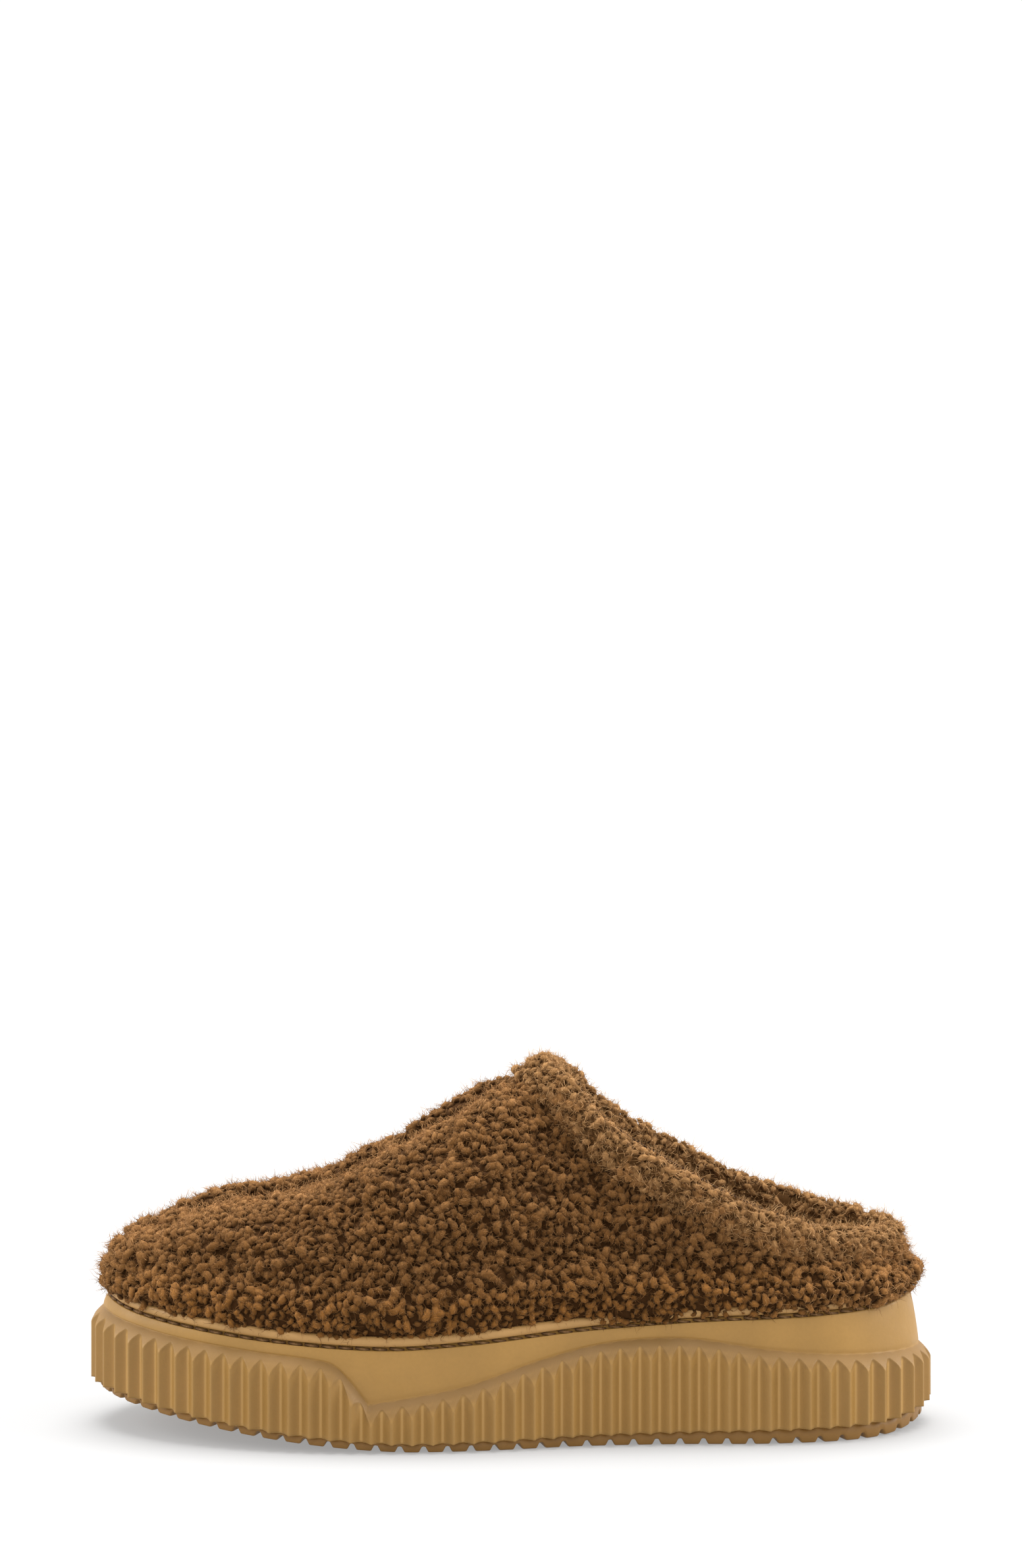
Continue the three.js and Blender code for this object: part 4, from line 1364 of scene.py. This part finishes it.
@dataclass
class FleeceUpper:
    """The curly fleece of both quarters: backing, curls and loose fibres."""

    shape: UpperShape
    finish: Fleece
    fibres: Fibres
    pile: Pile = field(init=False)
    columns: int = 170
    rows: int = 56
    split: float = 0.42
    curl_spacing: float = 1.85
    curls: tuple[Curl, ...] = (
        Curl(1.15, 1.12, 200, 0.6, 10), Curl(1.4, 1.05, 170, 1.1, 35), Curl(1.1, 1.15, 220, 0.8, 60),
        Curl(1.55, 1.0, 150, 0.5, 80), Curl(1.25, 1.08, 210, 1.3, 95), Curl(1.05, 1.0, 230, 0.7, -45),
    )

    def __post_init__(self) -> None:
        """Sets up the backing's shape."""
        self.pile = Pile(self.shape)

    def build(self) -> None:
        """Makes both sides."""
        material = self.finish.material()
        for number, side in enumerate(Side):
            label = side.name.lower()
            self.backing(side, label, material)
            pieces = []
            for end, (start, stop) in {"toe": (0.0, self.split), "heel": (self.split, 1.0)}.items():
                ground = self.ground(side, start, stop, f"ground_{label}_{end}")
                seed = 11 * (2 * number + len(pieces) + 1)
                scatter = Scatter(self.curls, self.curl_spacing, 0.7, 0.75, 1.4)
                piece = scatter.on(ground, f"fleece_{label}_{end}", seed, material)
                bpy.data.meshes.remove(ground.data)
                self.mark(piece)
                take_over(piece, "fleece")
                pieces.append(piece)
            self.fibres.grow(pieces, label, 500 + 100 * number)

    def backing(self, side: Side, label: str, material: bpy.types.Material) -> None:
        """Makes the knitted backing of one side, drawn in the painted shade that shows between the curls."""
        bm = self.grid(side, 0.0, 1.0, self.columns, self.rows)
        obj = new_object(f"fleece_backing_{label}", bm, material)
        thicken(obj, 1.2, -1.0)
        self.mark(obj)
        take_over(obj, "fleece", f"{label}_quarter")

    def ground(self, side: Side, start: float, stop: float, name: str) -> bpy.types.Object:
        """Makes the surface that one scatter grows on."""
        columns = round(self.columns * (stop - start))
        obj = new_object(name, self.grid(side, start, stop, columns, self.rows), self.blank())
        places = places_of(obj)
        toe = 1 - smoothstep(places[:, 0], -125, -70)
        heel = smoothstep(places[:, 0], 90, 122)
        low = 1 - smoothstep(self.height_over_cup(places), 3, 12)
        seam = bell(places[:, 1], 0, 3.5) * (1 - smoothstep(places[:, 0], 0, 10))
        give_values(obj, "size", 1 + 0.15 * toe + 0.1 * heel - 0.2 * low - 0.5 * seam)
        return obj

    @staticmethod
    def blank() -> bpy.types.Material:
        """Returns the plain material of a surface that is not kept."""
        return bpy.data.materials.get("blank") or bpy.data.materials.new("blank")

    def grid(self, side: Side, start: float, stop: float, columns: int, rows: int) -> bmesh.types.BMesh:
        """Makes the pile's surface over part of one side, facing out."""
        low = -self.pile.below

        def place(u: np.ndarray, v: np.ndarray) -> np.ndarray:
            """Places the grid on the pile's surface."""
            return self.pile.place(side, start + (stop - start) * u, low + (1 - low) * v)

        bm = placed_grid(columns, rows, place)
        if side is Side.MEDIAL:
            bmesh.ops.reverse_faces(bm, faces=bm.faces)
        return bm

    def height_over_cup(self, places: np.ndarray) -> np.ndarray:
        """Returns how high points lie over the cup's top edge."""
        return places[:, 2] - self.shape.sole.cup_top(places[:, 0])

    def mark(self, obj: bpy.types.Object) -> None:
        """Marks the warmer pile near the sole, painted light on the edges, painted shade in the groove and
        the fibres' sizes.
        """
        places = places_of(obj)
        x, across = places[:, 0], np.abs(places[:, 1])
        give_values(obj, "foot", 0.85 * (1 - smoothstep(self.height_over_cup(places), 4, 20)))
        toe = 1 - smoothstep(x, -134, -95)
        heel = smoothstep(x, 55, 125)
        seam = (1 - smoothstep(across, 10, 30)) * (1 - smoothstep(x, 0, 15))
        collar = smoothstep(places[:, 2] - self.shape.collar_z(x), -16, -4) * smoothstep(x, 0, 15)
        # Painted light on the toe, heel, top by the seam and near the collar.
        edge = np.clip(np.maximum.reduce([0.7 * toe, 0.8 * heel, seam, collar]), 0, 1)
        # Painted shade in the seam's groove; the same mask also shortens the fibres there.
        groove = bell(across, 0, 2.6) * (1 - smoothstep(x, 0, 10))
        give_values(obj, "edge", 0.75 * edge * (1 - groove))
        give_values(obj, "groove", 0.8 * groove)
        for tone, (middle, slope) in self.fibres.spread.items():
            give_values(obj, f"size_{tone}", (middle + slope * edge) * (1 - 0.7 * groove))


@dataclass
class Underlays:
    """The plates and the tape that lie close under the fleece's backing, across its seams."""

    pile: Pile
    stiffener: Cloth
    tape: Cloth
    thread: Thread
    below: float = 1.7
    thickness: float = 0.7
    thread_radius: float = 0.32

    def build(self) -> None:
        """Makes the toe puff, the heel counter, the front seam's tape and its thread."""
        felt, cloth = self.stiffener.material(), self.tape.material()
        self.plate("toe_stiffener", "toe_puff", "stiffener", felt,
                   lambda u, v: (0.17 * np.abs(2 * u - 1), 0.12 + 0.5 * v, 2 * u - 1))
        self.plate("heel_stiffener", "heel_counter", "stiffener", felt,
                   lambda u, v: (1 - 0.2 * np.abs(2 * u - 1), 0.12 + 0.73 * v, 2 * u - 1))
        self.plate("seam_tape", "front_seam_tape", "lining", cloth,
                   lambda u, v: (0.05 + 0.4 * u, 1 - 0.07 * np.abs(2 * v - 1), 2 * v - 1))
        thread = placed_grid(90, 5, self.thread_place)
        bmesh.ops.remove_doubles(thread, verts=thread.verts, dist=1e-6)
        bmesh.ops.holes_fill(thread, edges=[edge for edge in thread.edges if edge.is_boundary], sides=0)
        face_outwards(thread)
        take_over(new_object("seam_thread", thread, self.thread.material()), "thread", "front_seam_thread")

    def plate(self, name: str, node: str, slot: str, material: bpy.types.Material,
              route: Callable[[np.ndarray, np.ndarray], tuple[np.ndarray, np.ndarray, np.ndarray]]) -> None:
        """Makes one plate.

        Args:
            name: The piece's name.
            node: The CAD node that it stands for.
            slot: The record's material slot.
            material: Its finish.
            route: Gives s, t and the side, as a number's sign, from the grid's two parts.
        """

        def place(u: np.ndarray, v: np.ndarray) -> np.ndarray:
            """Places the grid under the backing of the side that each point lies on."""
            s, t, across = route(u, v)
            sides = [self.pile.place(side, s, t) - self.pile.shape.normal(side, s, t) * self.below
                     for side in Side]
            return np.where(across[:, None] < 0, *sides)

        obj = new_object(name, placed_grid(60, 16, place), material)
        thicken(obj, self.thickness, 0.0)
        take_over(obj, slot, node)

    def thread_place(self, u: np.ndarray, v: np.ndarray) -> np.ndarray:
        """Places the thread's surface along the bottom of the seam's groove."""
        s = 0.02 + 0.42 * u
        middle = self.pile.place(Side.LATERAL, s, np.ones_like(s))
        turn = 2 * np.pi * v
        round_it = np.column_stack([np.zeros_like(s), np.cos(turn), np.sin(turn)])
        return middle + round_it * self.thread_radius


def joined(parts: Sequence[bpy.types.Object], name: str) -> bpy.types.Object:
    """Joins several pieces into one.

    Args:
        parts: The pieces, which share a finish.
        name: The new piece's name.

    Returns:
        The first piece, with the others in it.
    """
    bpy.ops.object.select_all(action="DESELECT")
    for part in parts:
        part.select_set(True)
    bpy.context.view_layer.objects.active = parts[0]
    bpy.ops.object.join()
    parts[0].name = name
    parts[0].data.name = name
    return parts[0]


def thicken(obj: bpy.types.Object, thickness: float, offset: float) -> None:
    """Gives a sheet its thickness by a modifier.

    Args:
        obj: The sheet.
        thickness: In millimetres.
        offset: -1 to grow against the normals, 1 along them.
    """
    modifier = obj.modifiers.new("thickness", "SOLIDIFY")
    modifier.thickness = thickness * MM
    modifier.offset = offset


@dataclass
class Collar:
    """The rolled edge of the mouth, in paler fleece."""

    shape: UpperShape
    finish: Fleece
    fibres: Fibres
    near_lift: float = 1.2
    far_lift: float = 4.9
    radius: float = 2.6
    inwards: float = 3.4
    outer_leg: float = 8.0
    leg_sink: float = 0.025
    inner_leg: float = 12.0
    columns: int = 240
    spacing: float = 1.9
    curls: tuple[Curl, ...] = (
        Curl(1.4, 1.0, 160, 0.9, 60), Curl(1.6, 0.95, 140, 0.5, 90), Curl(1.2, 1.05, 190, 0.8, 40),
        Curl(1.3, 1.0, 170, 1.2, -60),
    )

    def rim(self, turn: np.ndarray) -> np.ndarray:
        """Returns points of the mouth's edge, where turn runs from the throat by the outer side."""
        shape = self.shape
        x = shape.mouth_middle - shape.mouth_half_length * np.cos(turn)
        y = -shape.mouth_half_width * np.sin(turn)
        middle = (self.near_lift + self.far_lift) / 2
        lift = middle - (self.far_lift - self.near_lift) / 2 * np.sin(turn)
        return np.column_stack([x, y, shape.collar_z(x) + lift])

    def place(self, part: np.ndarray, row: np.ndarray) -> np.ndarray:
        """Places the roll: up the outside, over the edge and down the inside.

        Args:
            part: Parts of the way round the mouth.
            row: From the outer leg's end (0) to the inner leg's end (1).
        """
        turn = 2 * np.pi * part
        rim = self.rim(turn)
        along = self.rim(turn + 0.01) - self.rim(turn - 0.01)
        along /= np.linalg.norm(along, axis=1)[:, None]
        plan = np.column_stack([-np.cos(turn) / self.shape.mouth_half_length,
                                -np.sin(turn) / self.shape.mouth_half_width, np.zeros_like(turn)])
        out = plan - along * (plan * along).sum(axis=1)[:, None]
        out /= np.linalg.norm(out, axis=1)[:, None]
        up = np.cross(out, along)
        up *= np.sign(up[:, 2:3])
        arch = math.pi * self.radius
        way = row * (self.outer_leg + arch + self.inner_leg)
        front = np.minimum(turn, 2 * np.pi - turn)
        slope = np.radians(32 + 50 * smoothstep(front, 0.0, 0.9))
        leg = np.maximum(self.outer_leg - way, 0)
        sink = self.leg_sink * leg**2 * smoothstep(front, 0.1, 0.6)
        down = np.maximum(way - self.outer_leg - arch, 0)
        angle = np.pi / 2 - slope + np.clip((way - self.outer_leg) / arch, 0, 1) * (np.pi / 2 + slope)
        side_out = self.radius * np.cos(angle) + leg * np.cos(slope)
        side_up = self.radius * (np.sin(angle) - 1) - leg * np.sin(slope) - down
        side_up = side_up - sink * np.cos(slope)
        side_out = side_out - sink * np.sin(slope) - 0.12 * down - self.inwards
        return rim + out * side_out[:, None] + up * side_up[:, None]

    def build(self) -> None:
        """Makes the roll and its curls."""
        material = self.finish.material()
        bm = placed_grid(self.columns, 22, self.place, closed=True)
        # The roll has no height mark, so it is drawn in the painted shade that shows between the curls.
        obj = new_object("collar_backing", bm, material)
        give_values(obj, "size", np.full(len(obj.data.vertices), 1.0))
        curls = Scatter(self.curls, self.spacing, 0.45, 0.85, 1.2).on(obj, "collar_fleece", 903, material)
        thicken(obj, 1.0, -1.0)
        count = len(curls.data.vertices)
        give_values(curls, "foot", np.zeros(count))
        # Painted light over the whole collar.
        give_values(curls, "edge", np.full(count, 0.35))
        for tone, (middle, slope) in self.fibres.spread.items():
            give_values(curls, f"size_{tone}", np.full(count, middle + 0.7 * slope))
        take_over(obj, "fleece", "collar_roll")
        take_over(curls, "fleece")
        self.fibres.grow([curls], "collar", 940)


# ---- Inside ----


@dataclass
class Lining:
    """The soft inner faces of both quarters, from the footbed to the collar's seam."""

    shape: UpperShape
    finish: Cloth
    depth: float = 7.8
    seam_room: float = 3.0
    seam_width: float = 9.0
    thickness: float = 1.4
    top: float = 0.985
    below_roll: float = 0.07
    tuck: float = 3.2
    skirt: float = 11.0
    columns: int = 120
    rows: int = 40

    def build(self) -> None:
        """Makes one lining for each side."""
        material = self.finish.material()
        for side in Side:
            label = side.name.lower()
            bm = placed_grid(self.columns, self.rows, lambda u, v: self.place(side, u, v))
            if side is Side.MEDIAL:
                bmesh.ops.reverse_faces(bm, faces=bm.faces)
            obj = new_object(f"lining_{label}", bm, material)
            thicken(obj, self.thickness, -1.0)
            take_over(obj, "lining", f"{label}_lining")

    def place(self, side: Side, s: np.ndarray, t: np.ndarray) -> np.ndarray:
        """Places the lining under the skin, a little uneven as soft cloth is."""
        down = self.skirt * np.clip(1 - t / 0.1, 0, 1)
        t = np.clip((t - 0.1) / 0.9, 0, 1)
        mouth = smoothstep(s, self.shape.throat - 0.02, self.shape.throat + 0.06)
        up = t * (self.top - self.below_roll * mouth)
        skin = self.shape.skin(side, s, up)
        front = 1 - smoothstep(skin[:, 0], 0, 22)
        room = self.seam_room * front * bell(skin[:, 1], 0, self.seam_width)
        tuck = self.tuck * mouth * smoothstep(t, 0.5, 0.95)
        points = self.shape.under(side, s, up, self.depth + room - tuck)
        ripple = np.array([noise.noise(Vector(point) / 9.0) for point in points])
        points += self.shape.normal(side, s, up) * (0.5 * ripple)[:, None]
        self.shape.meet_at_seams(side, s, t, points, 0.2)
        points[:, 2] -= down
        return points


@dataclass
class Footbed:
    """The cloth-covered footbed: cupped at its edge, dished at the heel."""

    shape: SoleShape
    finish: Cloth
    inset: float = -9.0
    edge_rise: float = 2.0
    edge_width: float = 12.0
    columns: int = 160
    rows: int = 60

    def build(self) -> None:
        """Makes the cover."""
        bm = placed_grid(self.columns, self.rows, self.place)
        bmesh.ops.remove_doubles(bm, verts=bm.verts, dist=1e-5)
        obj = new_object("footbed_cloth", bm, self.finish.material())
        thicken(obj, self.shape.cover, -1.0)
        take_over(obj, "lining", "footbed_cover")

    def place(self, part: np.ndarray, row: np.ndarray) -> np.ndarray:
        """Places the cover's upper face."""
        line = self.shape.outline.at(np.linspace(0, 1, 2000, endpoint=False), self.inset)
        start, end = line[:, 0].min() + 0.05, line[:, 0].max() - 0.05
        x = (start + end) / 2 - (end - start) / 2 * np.cos(np.pi * part)
        low, high = self.shape.outline.width(x, self.inset)
        across = np.sin(np.pi / 2 * (2 * row - 1))
        y = (low + high) / 2 + across * (high - low) / 2
        edge = np.minimum(np.minimum(y - low, high - y), np.minimum(x - start, end - x))
        rise = self.edge_rise * (1 - smoothstep(edge, 0, self.edge_width))
        lumps = np.array([noise.noise(Vector((a, b, 0)) / 8.0) for a, b in zip(x, y)])
        return np.column_stack([x, y, self.shape.cover_top(x) + rise + 0.25 * lumps])


@dataclass
class HiddenCore:
    """The pieces inside, kept as the frame has them and given their finishes."""

    nodes: dict[str, bpy.types.Object]
    finishes: dict[str, Cloth | Thread]

    def build(self) -> None:
        """Dresses each node."""
        materials: dict[str, bpy.types.Material] = {}
        for name, finish in self.finishes.items():
            if finish.name not in materials:
                materials[finish.name] = finish.material()
            self.nodes[name].data.materials.clear()
            self.nodes[name].data.materials.append(materials[finish.name])
            log.info("%s: dressed", name)


@dataclass
class Studio:
    """Pale floor, soft lights and the camera."""

    camera_height: float = 0.206
    camera_distance: float = 0.95
    lens: float = 67.2
    sensor: float = 36.0
    floor_size: float = 12.0
    floor_color: tuple[float, float, float] = (0.24, 0.24, 0.24)
    floor_glow: float = 0.31
    world_strength: float = 1.02
    softness: float = 0.7

    def build(self) -> None:
        """Makes the camera, the floor, the world and the lights."""
        self.add_camera()
        self.add_floor()
        self.add_world()
        self.add_sun("left", (-1.0, 0.0, 0.55), 1.6)
        self.add_sun("right", (1.0, 0.0, 0.55), 2.0)
        self.add_sun("top", (0.0, 0.15, 1.0), 4.6)
        bpy.context.scene.view_settings.view_transform = "Standard"

    def add_camera(self) -> None:
        """Sets a level camera on the slipper's outer side."""
        data = bpy.data.cameras.new("camera")
        data.lens = self.lens
        data.sensor_width = self.sensor
        data.sensor_fit = "AUTO"
        camera = bpy.data.objects.new("camera", data)
        camera.location = (0.0, -self.camera_distance, self.camera_height)
        camera.rotation_euler = (math.pi / 2, 0.0, 0.0)
        bpy.context.scene.collection.objects.link(camera)
        bpy.context.scene.camera = camera

    def add_floor(self) -> None:
        """Lays the floor that the slipper stands on."""
        wiring = Wiring("floor_pale")
        wiring.plain(Base_Color=(*self.floor_color, 1.0), Roughness=0.9, Emission_Color=(1.0, 1.0, 1.0, 1.0),
                     Emission_Strength=self.floor_glow)
        bm = bmesh.new()
        bmesh.ops.create_circle(bm, cap_ends=True, segments=64, radius=self.floor_size)
        floor = new_object("floor", bm, wiring.material)

    def add_world(self) -> None:
        """Surrounds the scene with white light."""
        world = bpy.data.worlds.new("studio")
        world.use_nodes = True
        backdrop = world.node_tree.nodes["Background"]
        backdrop.inputs["Color"].default_value = (1.0, 1.0, 1.0, 1.0)
        backdrop.inputs["Strength"].default_value = self.world_strength
        bpy.context.scene.world = world

    def add_sun(self, name: str, source: tuple[float, float, float], strength: float) -> None:
        """Adds a broad soft light.

        Args:
            name: The light's name.
            source: The direction that it comes from.
            strength: Its irradiance in watts per square metre.
        """
        data = bpy.data.lights.new(name, "SUN")
        data.angle = self.softness
        data.energy = strength
        light = bpy.data.objects.new(name, data)
        light.rotation_euler = (-Vector(source)).to_track_quat("-Z", "Y").to_euler()
        bpy.context.scene.collection.objects.link(light)


def main() -> None:
    """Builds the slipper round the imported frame."""
    logging.basicConfig(level=logging.INFO, format="%(message)s")
    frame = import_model()
    Studio().build()
    sole = SoleShape()
    upper = UpperShape(sole)
    tan = Rubber("rubber_tan", (0.365, 0.2, 0.05), (0.49, 0.285, 0.09), (0.2, 0.107, 0.028))
    # The tread's darker tan is painted shade: the same rubber as the cup, as it looks in the shade under the
    # sole.
    tread = Rubber("rubber_tread", (0.25, 0.125, 0.028), (0.32, 0.17, 0.045), (0.12, 0.05, 0.012))
    lip = Rubber("rubber_lip", (0.43, 0.24, 0.08), (0.5, 0.3, 0.11), (0.2, 0.1, 0.03))
    Cupsole(sole, tan).build()
    Tread(sole, tread).build()
    RandLip(sole, lip).build()
    SidewallStitch(sole, Thread("thread_brown_rand", (0.07, 0.033, 0.012), (0.25, 0.135, 0.05))).build()
    fleece = Fleece("fleece_brown", (0.045, 0.018, 0.0045), (0.145, 0.061, 0.015), (0.34, 0.167, 0.058),
                    (0.37, 0.155, 0.034))
    tones = {"light": (0.4, 0.207, 0.08), "middle": (0.24, 0.11, 0.033), "dark": (0.13, 0.056, 0.015)}
    FleeceUpper(upper, fleece, Fibres("fleece_fibre", tones)).build()
    nap = Fleece("fleece_collar", (0.09, 0.042, 0.013), (0.29, 0.143, 0.047), (0.46, 0.255, 0.105),
                 (0.25, 0.115, 0.03))
    hairs = (Hair(2.5, 0.075, 1.3), Hair(2.1, 0.07, -1.2), Hair(3.0, 0.065, 1.8))
    pale = {"light": (0.53, 0.305, 0.135), "middle": (0.39, 0.205, 0.077), "dark": (0.25, 0.12, 0.038)}
    Collar(upper, nap, Fibres("collar_fibre", pale, 0.95, 0.5, 1.2, hairs=hairs)).build()
    lining = Cloth("lining_brown", (0.09, 0.042, 0.018))
    Lining(upper, lining).build()
    Footbed(sole, Cloth("footbed_cloth", (0.13, 0.065, 0.028))).build()
    foam = Cloth("foam_pale", (0.6, 0.55, 0.45), 500.0)
    board = Cloth("fibreboard_grey", (0.3, 0.24, 0.17), 700.0)
    stiffener = Cloth("stiffener_felt", (0.1, 0.045, 0.016), 600.0)
    thread = Thread("thread_brown", (0.06, 0.028, 0.012), (0.16, 0.08, 0.035))
    Underlays(Pile(upper), stiffener, lining, thread).build()
    HiddenCore(frame["nodes"], {
        "midsole_core": foam, "footbed_foam": foam, "insole_board": board, "back_seam_thread": thread,
        "collar_thread": thread,
    }).build()


if __name__ == "__main__":
    main()
